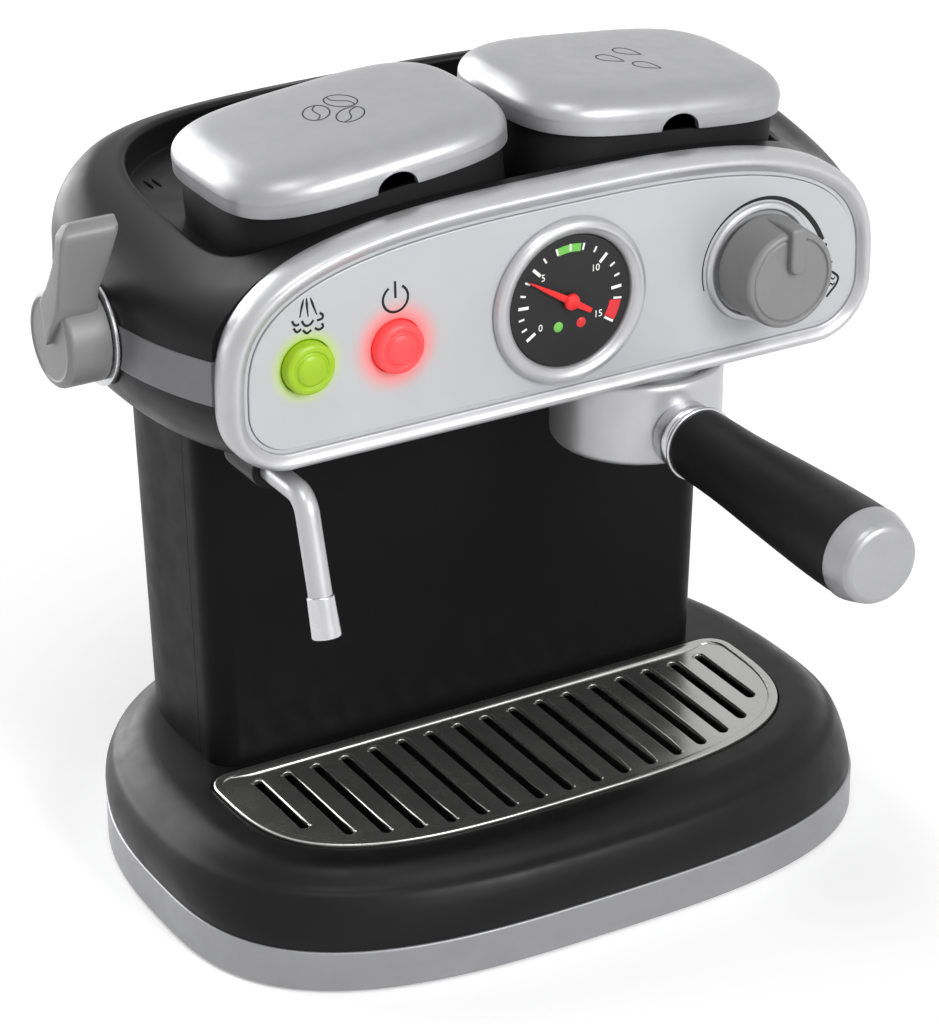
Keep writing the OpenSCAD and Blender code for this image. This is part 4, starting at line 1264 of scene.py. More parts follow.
@dataclass
class Panel(Assembly):
    """The control panel: an arched bezel round a pale face plate with its printed signs."""
    half: float = 108.3
    low: float = 160.5
    height: float = 69.2
    middle: float = 183.2
    corner: float = 20.0
    back: float = -48.0
    front: float = -59.0
    rim: float = 5.6
    plate_back: float = -54.0
    plate_front: float = -57.0
    row: float = 191.5
    gauge: tuple = (1.6, 193.3, 20.3)
    knob: tuple = (67.0, 191.7, 3.1)
    buttons: tuple = (-83.4, -55.0)
    button_hole: float = 8.0

    def ring(self, inset: float) -> Array:
        """The bezel's outline in X and Z: a superellipse arch of exponent 3, two round corners and a
        straight lower edge.

        Args:
            inset: How far inside the outer edge.

        Returns:
            Points (x, z) of the outline.
        """
        w, h, r = self.half - inset, self.low + self.height - self.middle - inset, self.corner - inset
        top = oval(w, self.middle, h, h, 3, 3, np.linspace(0, np.pi, 141))
        c, z = self.half - self.corner, self.low + self.corner
        edge = np.column_stack([np.linspace(-c, c, 40)[1:-1], np.full(38, self.low + inset)])
        return np.vstack([top, arc((-c, z), r, 180, 270, 18), edge, arc((c, z), r, 270, 360, 18)])

    def bezel(self) -> Surface:
        """The bezel: its rolled section is carried round the outline, from the side wall over the rim to
        the inner edge.

        Returns:
            The closed surface.
        """
        y, r = self.front, self.rim
        roll = smooth(points((0, y + 7), (0, y + 5.2), (0.3, y + 3.2), (1.0, y + 1.3), (2.0, y + 0.25),
                             (3.0, y + 0.15), (4.1, y + 0.8), (r - 0.5, y + 1.7), (r - 0.1, y + 2.1),
                             (r, y + 3)), 5)
        section = np.vstack([[[0.8, self.back], [0, self.back + 0.01 - 2]], roll,
                             [[r, self.plate_back], [r, self.back]]])
        return hoop(self.ring, section, upright)

    def face(self) -> Surface:
        """The face plate: a margin with a raised field on it, and openings for gauge, knob and buttons.

        Returns:
            The surfaces of margin and field.
        """
        edge, step = self.rim + 1.2, self.plate_front + 0.6
        margin = bead(0.15, (self.rim - 0.02, self.plate_back), (self.rim - 0.02, step), (edge, step),
                      (edge, self.plate_back))
        holes = [hole(*self.gauge, 96), hole(*self.knob, 32)]
        holes += [hole(x, self.row, self.button_hole, 64) for x in self.buttons]
        field = plate(lambda o: self.ring(edge + 0.15 - o), holes, self.plate_front, self.plate_back, 0.3,
                      upright)
        return hoop(self.ring, margin, upright) + field

    def stroke(self, line: Array, width: float | Array) -> Surface:
        """A printed stroke on the face plate, along points (x, z)."""
        section = np.column_stack([squared(around(12), 0.5)[:, 0], 0.09*np.sin(around(12))])
        return inlay(upright(line, self.plate_front - 0.02), width, section, (0, -1, 0))

    def power_sign(self) -> Surface:
        """The on-off sign: a ring that is open at the top with a bar in the gap.

        Returns:
            The print.
        """
        x, z = self.buttons[1] - 0.15, self.row + 14.3
        bar = np.linspace((x - 0.1, z + 5.2), (x, z + 0.2), 8)
        return self.stroke(arc((x, z), 4.0, 122, 418, 60), 0.78) + self.stroke(bar, 0.78)

    def steam_sign(self) -> Surface:
        """The steam sign: three jets that spread downwards over two rows of billows.

        Returns:
            The print.
        """
        place = points((self.buttons[0] + 0.4, self.row))
        jets = [points((-0.9, 20.2), (-1.6, 17.7), (-2.2, 15.0)), points((0, 20.4), (0.1, 17.7), (0.4, 14.7)),
                points((1.2, 20.2), (2.1, 17.5), (3.1, 14.8))]
        billows = [points((-4.6, 14.5), (-4.1, 13.4), (-3.3, 12.9), (-2.4, 13.1)),
                   points((-1.6, 13.9), (-0.9, 12.6), (0, 12.1), (1.1, 12.4), (2.0, 13.4)),
                   points((4.0, 15.1), (4.9, 14.3), (4.7, 13.3), (3.1, 13.0)),
                   points((-4.2, 12.2), (-3.2, 10.9), (-1.8, 11.5)),
                   points((-1.3, 11.1), (-0.1, 9.9), (1.3, 10.6)),
                   points((2.4, 10.9), (3.6, 10.2), (4.9, 10.7), (4.7, 11.9))]
        lines = [smooth(jet, 8) + place for jet in jets]
        widths = np.interp(np.linspace(0, 1, len(lines[0])), [0, 0.3, 1], [0.3, 0.8, 0.35])
        return joined([*(self.stroke(line, widths) for line in lines),
                       *(self.stroke(smooth(billow, 8) + place, 0.75) for billow in billows)])

    def knob_scale(self) -> Surface:
        """The knob's scale: a line that starts thin at the left, runs over the knob and grows broad to the
        right, two dots, and a drop.

        Returns:
            The print.
        """
        a = np.linspace(196, 5.5, 90)
        reach = 19.7 + 3.2*(np.maximum(60 - a, 0)/55)**2.1
        line = arc((0, 0), 1, 196, 5.5, 90)*reach[:, None]
        width = 0.4 + 1.25*np.clip((150 - a)/110, 0, 1)
        centre = np.array(self.knob[:2])
        dots = [self.dot(centre + (24.0, 0.3), 0.62), self.dot(centre + (26.3, -5.6), 0.5)]
        drop = smooth(points((25.8, -8.4), (27.6, -9.4), (29.2, -11.2), (28.4, -13.4), (26.8, -15.0),
                             (25.2, -16.6)), 8)
        wave = smooth(points((25.9, 0), (26.6, 0.7), (27.3, 0), (28.0, 0.6)), 4)
        return joined([self.stroke(line + centre, width), self.stroke(drop + centre, 0.8), *dots,
                       *(self.stroke(wave + [0, z] + centre, 0.45) for z in (-11.4, -13.2))])

    def dot(self, centre: Array, radius: float) -> Surface:
        """A printed dot."""
        return turned(points((0, 0.1), (radius, 0.08), (radius, -0.05), (0, -0.05)),
                      facing_front(centre[0], self.plate_front, centre[1]), 24)

    def build(self) -> None:
        """Makes bezel, face plate and signs."""
        x0, x1 = self.buttons
        y = self.plate_front
        # Painted glow: a soft coloured halo of light round each lit button, mixed into the face plate's colour.
        painted_glows = (((x0, y, self.row), 6.8, 12.4, tone(186, 218, 70)),
                 ((x1, y, self.row), 6.9, 15.4, tone(252, 116, 116)))
        pale = PaintedGlowFinish("panel_grey", "panel_grey", tone(186, 187, 189), 0.42, metallic=0.25, specular=0.4,
                          mottle=0.025, patch=24, grain=0.25, relief=0.07, depth=0.012, painted_glows=painted_glows)
        self.fit("bezel", self.bezel(), SATIN_SILVER, "housing", "panel_bezel")
        self.fit("face_field", self.face(), pale, "housing", "face_plate")
        self.fit("power_sign", self.power_sign(), INK_BLACK, "housing")
        self.fit("steam_sign", self.steam_sign(), INK_BLACK, "housing")
        self.fit("knob_scale", self.knob_scale(), INK_BLACK, "housing")


@dataclass
class Gauge(Assembly):
    """The pressure gauge: a silver ring, a black dial with its scale and a red needle."""
    x: float = 1.6
    z: float = 193.3
    radius: float = 20.2
    ring: float = 25.4
    panel: float = -57.0
    dial: float = -57.6
    start: float = 213.5
    step: float = -13.66
    marks: int = 19
    needle: float = 148.5

    def angle(self, index: Array) -> Array:
        """Angle of each mark in degrees: even steps clockwise, eased by a sine over the whole scale."""
        return self.start + self.step*index + 5.2*np.sin(TURN*index/(self.marks - 1))

    def bar(self, angle: float, inner: float, outer: float, width: float, lift: float = 0.0) -> Surface:
        """A printed bar of a given width that points at the hub, a lift above the other prints."""
        outline = points((inner, -width/2), (outer, -width/2), (outer, width/2), (inner, width/2))
        return self.print_shape(spun(outline, angle) + [self.x, self.z], lift)

    def print_shape(self, outline: Array, lift: float = 0.0) -> Surface:
        """A thin solid print in the dial's plane with the outline given in X and Z."""
        return skin([upright(outline, self.dial - 0.08 - lift), upright(outline, self.dial + 0.03)])

    def zone(self, start: float, end: float, inner: float, outer: float) -> Surface:
        """A printed sector of the scale between two angles."""
        edges = [arc((0, 0), inner, start, end, 24), arc((0, 0), outer, start, end, 24)[::-1]]
        return self.print_shape(np.vstack(edges) + [self.x, self.z])

    def face(self) -> Surface:
        """The dial's disc with a fine bevelled edge."""
        return turned(points((0, 3.6), (self.radius - 0.3, 3.6), (self.radius, 3.3), (self.radius, 0), (0, 0)),
                      facing_front(self.x, self.dial + 3.6, self.z), 128)

    def rim(self) -> Surface:
        """The silver ring: a wide convex bead that slopes down to the dial.

        Returns:
            The closed surface.
        """
        r0, r1 = self.radius, self.ring
        section = bead(0.9, (r0 + 0.1, -2.4), (r0 + 0.1, 1.3), (r0 + 1.5, 2.6), (r1 - 2.4, 3.2),
                       (r1 - 0.8, 2.5), (r1, 1.1), (r1, 0), (r0 + 1.5, -0.5), (r0 + 1.5, -2.4))
        return turned(section, facing_front(self.x, self.panel, self.z), 128)

    def scale(self) -> Surface:
        """White marks: long ones at every third step and short ones between; those on the coloured zones lie
        a little higher, and the red one leaves one out.

        Returns:
            The marks.
        """
        long, short = (13.9, 17.3, 0.95), (15.5, 17.3, 0.6)
        green, red = (15.4, 17.5, 0.62, 0.05), (14.8, 17.5, 0.62, 0.05)
        special = {8: green, 9: green, 10: green, 16: red}
        return joined([self.bar(angle, *special.get(index, short if index % 3 else long))
                       for index, angle in enumerate(self.angle(np.arange(self.marks))) if index != 17])

    def numbers(self) -> Surface:
        """The numbers 0, 5, 10 and 15 inside their marks.

        Returns:
            The print.
        """
        parts = []
        for text, index, reach in (("0", 0, 11.8), ("5", 6, 12.6), ("10", 12, 11.9), ("15", 18, 11.3)):
            a = np.radians(self.angle(np.array(index)))
            place = facing_front(self.x + reach*np.cos(a), self.dial - 0.04, self.z + reach*np.sin(a))
            parts.append(lettering(text, 3.0, 0.1, place))
        return joined(parts)

    def lens(self, x: float, z: float) -> Surface:
        """A small round printed lamp, slightly domed."""
        return turned(points((0, 0.32), (0.9, 0.26), (1.4, 0.12), (1.55, 0), (1.55, -0.1), (0, -0.1)),
                      facing_front(self.x + x, self.dial, self.z + z), 32)

    def pointer(self) -> Surface:
        """The needle: a long blade that tapers to its tip, a short tail and a domed hub.

        Returns:
            The surfaces of blade and hub.
        """
        outline = points((-7.6, -0.75), (-7.6, 0.75), (0, 1.15), (9, 0.75), (16.2, 0.22), (16.4, 0),
                         (16.2, -0.22), (9, -0.75), (0, -1.15))
        y = self.panel - 1.2
        layers = [(0.0, 0.86), (0.1, 1.0), (0.55, 1.0), (0.8, 0.6)]
        rings = [upright(spun(outline*[1, k], self.needle) + [self.x, self.z], y - h) for h, k in layers]
        hub = turned(points((0, 1.75), (1.2, 1.68), (2.0, 1.45), (2.4, 1.0), (2.5, 0.2), (2.4, 0), (0.8, 0),
                            (0.8, -4), (0, -4)), facing_front(self.x, y, self.z), 48)
        return skin(rings) + hub

    def build(self) -> None:
        """Makes dial, marks, numbers, zones, lamps, ring and needle."""
        self.fit("gauge_face", self.face(), DIAL_BLACK, "housing", "gauge_dial")
        self.fit("gauge_rim", self.rim(), SATIN_SILVER, "housing", "gauge_ring")
        self.fit("gauge_marks", self.scale(), INK_WHITE, "housing", crease=20)
        self.fit("gauge_numbers", self.numbers(), INK_WHITE, "housing", crease=20)
        green = self.zone(106, 78, 15.0, 17.4) + self.lens(-3.85, -7.4)
        red = self.zone(-10.5, -31.5, 13.6, 17.4) + self.lens(3.85, -7.5)
        self.fit("gauge_green_zone", green, INK_GREEN, "housing")
        self.fit("gauge_red_zone", red, INK_RED, "housing")
        self.fit("needle", self.pointer(), NEEDLE_RED, "pressure_needle", "gauge_needle")


@dataclass
class Knob(Assembly):
    """The front knob on its seat: a drum with a shallow ring in its face and a raised pointer."""
    x: float = 67.0
    z: float = 191.7
    back: float = -58.9
    radius: float = 15.6
    length: float = 15.2
    pointer_shift: float = 0.9
    pointer_rise: float = 2.3
    panel: float = -57.0

    def drum(self) -> Surface:
        """The drum: a slightly tapered side, a rounded edge, a fine groove and a flat face.

        Returns:
            The closed surface.
        """
        r, n = self.radius, self.length
        profile = points((0, 0), (r - 0.4, 0), (r, 0.5), (r - 0.5, n - 1.2), (r - 1.2, n - 0.1),
                         (r - 2.4, n + 0.2), (r - 2.8, n - 0.6), (r - 3.3, n - 0.15), (0, n - 0.1))
        return turned(np.vstack([[[0, 0]], eased(profile, 0.5)]), facing_front(self.x, self.back, self.z), 128)

    def pointer(self) -> Surface:
        """The pointer: a bar with a round lower end that rises out of the drum towards its face; its outline
        is carried from rear to front while its top edge moves outwards.

        Returns:
            The closed surface.
        """
        def outline(top: float, shrink: float) -> Array:
            """The bar's outline, up to a height and drawn in all round."""
            x, w, high = self.pointer_shift, 2.5 - shrink, self.radius + top - shrink
            lower = arc((x, 4.6), w, 180, 360, 17)
            head = eased(points((w + x, 6.0), (w + x, high), (x - w, high), (x - w, 6.0)), 1.2)
            return np.vstack([lower, head]) + [self.x, self.z]
        y0, y1 = self.back - 1.2, self.back - self.length - self.pointer_rise
        steps = [(-0.4, 0, y0), (0.2, 0, y0 - 3), (0.8, 0, y0 - 8), (1.0, 0, y1 + 1.0), (1.0, 0.04, y1 + 0.7),
                 (1.0, 0.25, y1 + 0.3), (1.0, 0.6, y1 + 0.06), (1.0, 1.0, y1)]
        return skin([upright(outline(top, shrink), y) for top, shrink, y in steps])

    def seat(self) -> Surface:
        """The seat: a low ring pressed in the panel, with a bright rounded crest.

        Returns:
            The closed surface.
        """
        r = self.radius
        section = bead(0.5, (r + 0.4, -0.4), (r + 0.4, 0.5), (r + 1.0, 1.35), (r + 2.6, 0.95), (r + 3.0, 0),
                       (r + 3.0, -0.4))
        return turned(section, facing_front(self.x, self.panel, self.z), 128)

    def build(self) -> None:
        """Makes knob and seat."""
        self.fit("knob_drum", self.drum() + self.pointer(), KNOB_GREY, "water_knob", "front_knob")
        self.fit("knob_ring", self.seat(), SATIN_SILVER, "housing", "knob_seat")


@dataclass
class PushButton(Assembly):
    """A lit push button: a domed cap with a ring round its crown, a flange, a stem and its return spring."""
    x: float = -83.4
    z: float = 191.5
    back: float = -52.4
    stem: float = 8.9
    radius: float = 7.7
    board: float = -43.1
    wire: float = 0.4
    turns: int = 4
    squashed: float = 0.7
    colour: str = "green"
    finish: Finish = GREEN_CAP

    def cap(self) -> Surface:
        """The cap: its section goes up the side, over a rounded shoulder, into a fine ring groove and over
        the crown.

        Returns:
            The surfaces of cap and stem.
        """
        r = self.radius
        crown = smooth(points((r, 6.6), (r - 0.25, 7.4), (r - 1.0, 7.95), (r - 2.0, 8.1), (r - 2.45, 7.75),
                              (r - 2.9, 7.85), (r - 3.5, 8.45), (r - 5, 8.9), (0, 9.2)), 4)
        inside = points((0, 6.5), (r - 1.5, 6.5), (r - 1.5, 0), (r + 1.5, 0), (r + 1.5, 1.2), (r, 1.2))
        cap = turned(np.vstack([inside, crown]), facing_front(self.x, self.back, self.z), 80)
        stem = points((0, 0), (2.2, 0), (2.2, self.stem), (0, self.stem))
        return cap + turned(stem, facing_front(self.x, self.back + 2.3, self.z), 32)

    def spring(self) -> Surface:
        """The return spring: round wire along a helix, a circle whose depth grows evenly with its angle, from
        the board to the flange.

        Returns:
            The closed surface of the wire.
        """
        t = np.linspace(0, 1, 26*self.turns + 1)
        a, r, gap = self.turns*TURN*t, self.radius - 1.1, self.wire + 0.1
        start, end = self.board - gap, self.back + gap
        path = np.column_stack([self.x + r*np.cos(a), start + (end - start)*t, self.z + r*np.sin(a)])
        return along(path, circle(self.wire, 10), (0, 1, 0))

    def build(self) -> None:
        """Makes the button and its spring, which gets a mesh of its own."""
        body = f"{self.colour}_push"
        self.fit(f"{self.colour}_cap", self.cap(), self.finish, body, f"{self.colour}_button")
        coil = self.fit(f"{self.colour}_coil", self.spring(), SPRING, "housing", f"{self.colour}_spring")
        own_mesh(coil)


@dataclass
class SideLever(Assembly):
    """The lever on the left: a round boss, an arm that leans forwards and broadens to a rounded top."""
    y: float = 2.6
    z: float = 187.95
    face: float = -120.9
    radius: float = 14.2
    length: float = 13.3
    washer: float = 16.0
    ring: tuple = (4.6, 1.1, 1.4)
    bushing: tuple = (4.1, 16.6, 18.0)

    def boss(self) -> Surface:
        """The boss: a drum with a soft edge and a fine raised rim round its face.

        Returns:
            The closed surface.
        """
        r, n = self.radius, self.length
        profile = eased(points((0, 0), (r - 0.2, 0), (r, 0.3), (r, n - 1.3), (r - 1.3, n), (r - 2.2, n),
                               (r - 2.6, n - 0.35), (0, n - 0.35)), 0.8)
        return turned(profile, facing_left(self.face, self.y, self.z), 96)

    def arm(self) -> Surface:
        """The arm: rounded sections stacked from the middle of the boss to the top. At each height the side
        view gives where the section starts and ends in Y, and the front view where it does in X.

        Returns:
            The closed surface.
        """
        z = np.array([-0.6, 3, 8, 11.4, 14, 17, 21, 26, 31, 34, 35.8, 37.2, 38.4, 39.2])
        front = np.interp(z, [-0.6, 11.4, 26, 35.6, 37.4, 39.4], [-1.2, -10.4, -14.0, -15.8, -15.2, -12.6])
        rear = np.interp(z, [-0.6, 12, 16.5, 24, 31, 38.6, 39.4], [-1.2, 3.5, -1.2, -6.4, -9.9, -10.2, -11.4])
        inner = np.interp(z, [-0.6, 10, 16, 26, 37, 39.4], [-4.5, -1.2, -2.2, 0.4, 3.2, 3.0])
        outer = np.interp(z, [-0.6, 31, 36, 38, 39.4], [-14.9, -14.9, -14.6, -13.0, -10.6])
        middle = np.column_stack([self.face + (inner + outer)/2, self.y + (front + rear)/2])
        half = np.column_stack([(inner - outer)/2, (rear - front)/2])
        flat = middle[:, None] + half[:, None]*squared(around(64), 0.28)
        return skin([level(ring, self.z + height) for ring, height in zip(flat, z)])

    def sleeve(self, bore: float, length: float, depth: float) -> Surface:
        """A ring as wide as the washer, a depth behind the boss, with a bore and a length of its own."""
        section = bead(0.3, (bore, 0), (self.washer, 0), (self.washer, length), (bore, length))
        return turned(section, facing_left(self.face + depth, self.y, self.z), 96)

    def build(self) -> None:
        """Makes lever, washer and bushing."""
        self.fit("lever_handle", self.boss() + self.arm(), KNOB_GREY, "steam_lever", "lever_knob")
        self.fit("lever_ring", self.sleeve(*self.ring), CHROME, "housing", "lever_washer")
        self.fit("lever_seat", self.sleeve(*self.bushing), BLACK_SHELL, "housing", "lever_bushing")


class Side(Enum):
    """Which hopper and lid: the left one holds beans, the right one water."""
    LEFT = -1
    RIGHT = 1


@dataclass
class Hopper(Assembly):
    """One hopper with its lid. Both lean outwards together, and the lid's sign is drawn on its top."""
    side: Side = Side.LEFT
    mid: float = 0.75
    reach: float = 46.85
    y: float = -8.9
    z: float = 231.7
    roll: float = 5.6
    half: float = 45.3
    depth: float = 34.2
    exponent: float = 3.7
    height: float = 12.4
    inside: float = 1.6
    wall: float = 1.8
    floor: float = 212.2
    notch: float = 6.5
    notch_rise: float = 0.78
    notch_count: int = 41
    hinge: tuple = (36.0, -2.0, 2.2)
    outlet: tuple = (67.0, -33.0)
    spout: tuple = (4.0, 199.2, 213.0)
    ear: tuple = (14.0, 20.0)
    knuckle: tuple = (20.4, 26.0)
    count: int = 256

    def place(self) -> Place:
        """The lid's own frame."""
        a, x = np.radians(self.side.value*self.roll), self.mid + self.side.value*self.reach
        return Place((x, self.y, self.z), (np.cos(a), 0, -np.sin(a)), (0, 1, 0), (np.sin(a), 0, np.cos(a)))

    def ring(self, offset: float, angles: Array | None = None) -> Array:
        """The lid's outline, a superellipse, at even angles or at given ones."""
        a, b, n = self.half + offset, self.depth + offset, self.exponent
        return oval(a, 0, b, b, n, n, around(self.count) if angles is None else angles)

    def bowed(self, outline: Array, low: float) -> Array:
        """The skirt's lower edge: level at low, but raised over the finger notch in front by the height of
        the notch's flattened circle.

        Args:
            outline: Points (x, y).
            low: Height of the level edge.

        Returns:
            Points of the edge.
        """
        x, y = outline.T
        bow = self.notch_rise*np.sqrt(np.maximum(self.notch**2 - x**2, 0))
        near = (y < 0) & (np.abs(x) < self.notch)
        return np.column_stack([outline, np.where(near, np.maximum(low, bow), low)])

    def notched(self, offset: float, low: float) -> Array:
        """A ring of the skirt with points crowded round the notch, so that its edge is crisp.

        Args:
            offset: Distance outwards.
            low: Height of the level edge.

        Returns:
            The ring.
        """
        reach = np.pi/2 - np.arctan2(self.depth + offset, self.notch)
        span = np.linspace(-np.pi/2 - reach, -np.pi/2 + reach, self.notch_count)
        rest = np.linspace(span[-1], span[0] + TURN, self.count - self.notch_count + 2)[1:-1]
        return self.bowed(self.ring(offset, np.concatenate([span, rest])), low)

    def raised(self, offset: float, z: float) -> Array:
        """A level ring on the same rays as the notched ones."""
        return level(self.notched(offset, 0)[:, :2], z)

    def lid(self) -> Surface:
        """The lid: a straight skirt, a wide rolled shoulder and a nearly flat top, hollow below, with hinge
        ears at its rear.

        Returns:
            The surface of lid and ears.
        """
        h = self.height
        shoulder = smooth(points((0, h - 9.0), (0, h - 7.6), (-0.5, h - 5.6), (-1.9, h - 3.6), (-4.2, h - 1.9),
                                 (-7, h - 0.9), (-10, h - 0.4), (-15, h - 0.12), (-20, h)), 6)
        rings = [self.notched(o, 0.0) for o in (-0.7, -0.25, -0.03, 0)]
        rings[2][:, 2] = rings[1][:, 2] + 0.12
        rings[3][:, 2] = rings[1][:, 2] + 0.45
        for o, z in shoulder:
            ring = self.raised(o, z)
            if z < h - 5.5:
                ring[:, 2] = np.maximum(ring[:, 2], rings[3][:, 2] + 0.05)
            rings.append(ring)
        rings += [self.raised(-20, h)*[k, k, 1] for k in (0.7, 0.4, 0.1)]
        inner = [self.raised(-9, h - 2.6)*[0.1, 0.1, 1], self.raised(-9, h - 2.6), self.raised(-4.4, h - 4.4),
                 self.raised(-2, h - 5.6)]
        inner[-1][:, 2] = np.maximum(inner[-1][:, 2], rings[0][:, 2] + 0.1)
        last = self.notched(-2, 0.0)
        walls = [skin(part, caps=False) for part in (rings, [*inner, last], [rings[0], last])]
        closes = [Surface(ring, [list(range(self.count))]) for ring in (rings[-1], inner[0])]
        return joined([*walls, *closes, self.knuckles(self.ear, self.depth - 1.4, 1)])

    def knuckles(self, span: tuple, root: float, rise: int) -> Surface:
        """Two hinge knuckles: their section is a circle with a web that runs in to the wall, carried along X.

        Args:
            span: Where a knuckle starts and ends, counted from the middle.
            root: Where the web ends, in the wall.
            rise: 1 where the web is at the barrel's top, -1 where it is at its bottom.

        Returns:
            Both knuckles.
        """
        y, z, radius = self.hinge
        barrel = arc((y, z), radius, 105 - 15*rise, -105 - 15*rise, 22)
        web = ((root, z - 0.3), (root, z + 3.2), (y - 0.8, z + 3.2)) if rise > 0 else \
            ((root, z - radius), (root, z + 1.2))
        section = np.vstack([barrel, web])
        steps = np.array([span[0], span[0] + 0.01, span[1] - 0.01, span[1]])
        return joined([skin([np.column_stack([np.full(len(section), s*x), section]) for x in steps])
                       for s in (-1, 1)])

    def tub(self) -> Surface:
        """The hopper: an open tub whose walls lean with the lid down to the well's level floor.

        Returns:
            The surface of the tub and its knuckles.
        """
        place = self.place()
        outer, inner = -self.inside, -self.inside - self.wall

        def down(offset: float, low: float) -> Array:
            """The outline carried down the lid's own axis to a level height."""
            top = place.put(level(self.ring(offset), -0.3))
            step = place.put(np.array([[0, 0, -1.0]])) - place.put(np.zeros((1, 3)))
            return top + step*((top[:, 2:] - low)/-step[0, 2])
        rim = ((outer, -0.8), (outer - 0.25, -0.3), (inner + 0.25, -0.3), (inner, -0.8))
        rings = [down(outer, self.floor + 0.02), *(place.put(level(self.ring(o), z)) for o, z in rim),
                 down(inner, self.floor + 3), down(inner - 1.5, self.floor + 2)]
        return skin(rings) + self.knuckles(self.knuckle, self.depth - self.inside - 1, -1).placed(place)

    def stroke(self, line: Array, width: float, closed: bool) -> Surface:
        """An engraved line on the lid's top, as a thin dark inlay that follows points (x, y)."""
        path = level(np.vstack([line, line[:1]]) if closed else line, self.height + 0.015)
        return inlay(path, width, circle(1, 10)*[1, 0.06], (0, 0, 1), closed)

    def bean(self, x: float, y: float, turn: float) -> Surface:
        """A coffee bean: an oval with an S-shaped line, a sine's wave, along its middle.

        Args:
            x: Its place across the lid.
            y: Its place along the lid.
            turn: Its direction in degrees.

        Returns:
            The print.
        """
        u = np.linspace(-1, 1, 24)
        shell, seam = circle(1, 40)*[5.5, 3.9], np.column_stack([5.2*u, 0.9*np.sin(u*np.pi)])
        return self.stroke(spun(shell, turn) + [x, y], 0.5, True) \
            + self.stroke(spun(seam, turn) + [x, y], 0.45, False)

    def drop(self, x: float, y: float, turn: float) -> Surface:
        """A water drop: x = 1 + cos t along its axis, and y = sin t sin t/2, round behind and pointed ahead."""
        shape = np.column_stack([4.4 + 4.4*np.cos(around(48)), 3.7*np.sin(around(48))*np.sin(around(48)/2)])
        return self.stroke(spun(shape, turn) + [x, y], 0.5, True)

    def sign(self) -> Surface:
        """Three beans on the left lid, three drops on the right one; each spot is x, y and a turn.

        Returns:
            The print.
        """
        if self.side is Side.LEFT:
            return joined([self.bean(*spot) for spot in ((5.0, 6.4, 112), (-4.6, 3.3, 66), (2.4, -4.3, 45))])
        return joined([self.drop(*spot, -52) for spot in ((1.1, 6.6), (-7.8, 1.8), (-0.5, -7.0))])

    def build(self) -> None:
        """Makes hopper, lid and sign."""
        left = self.side is Side.LEFT
        body = "left_lid" if left else "right_lid"
        names = ("bean", "bean_lid", "bean_hopper") if left else ("water", "tank_lid", "water_tank")
        place = self.place()
        self.fit(f"{names[0]}_cover", self.lid().placed(place), SHADED_LID_SILVER, body, names[1], crease=45)
        self.fit(f"{names[0]}_sign", self.sign().placed(place), INK_BLACK, body)
        tub = self.tub()
        if not left:
            r, z0, z1 = self.spout
            tub += turned(points((0, z0), (r, z0), (r, z1), (0, z1)), standing(*self.outlet), 32)
        self.fit(f"{names[0]}_tub", tub, BLACK_MATTE, "housing", names[2])


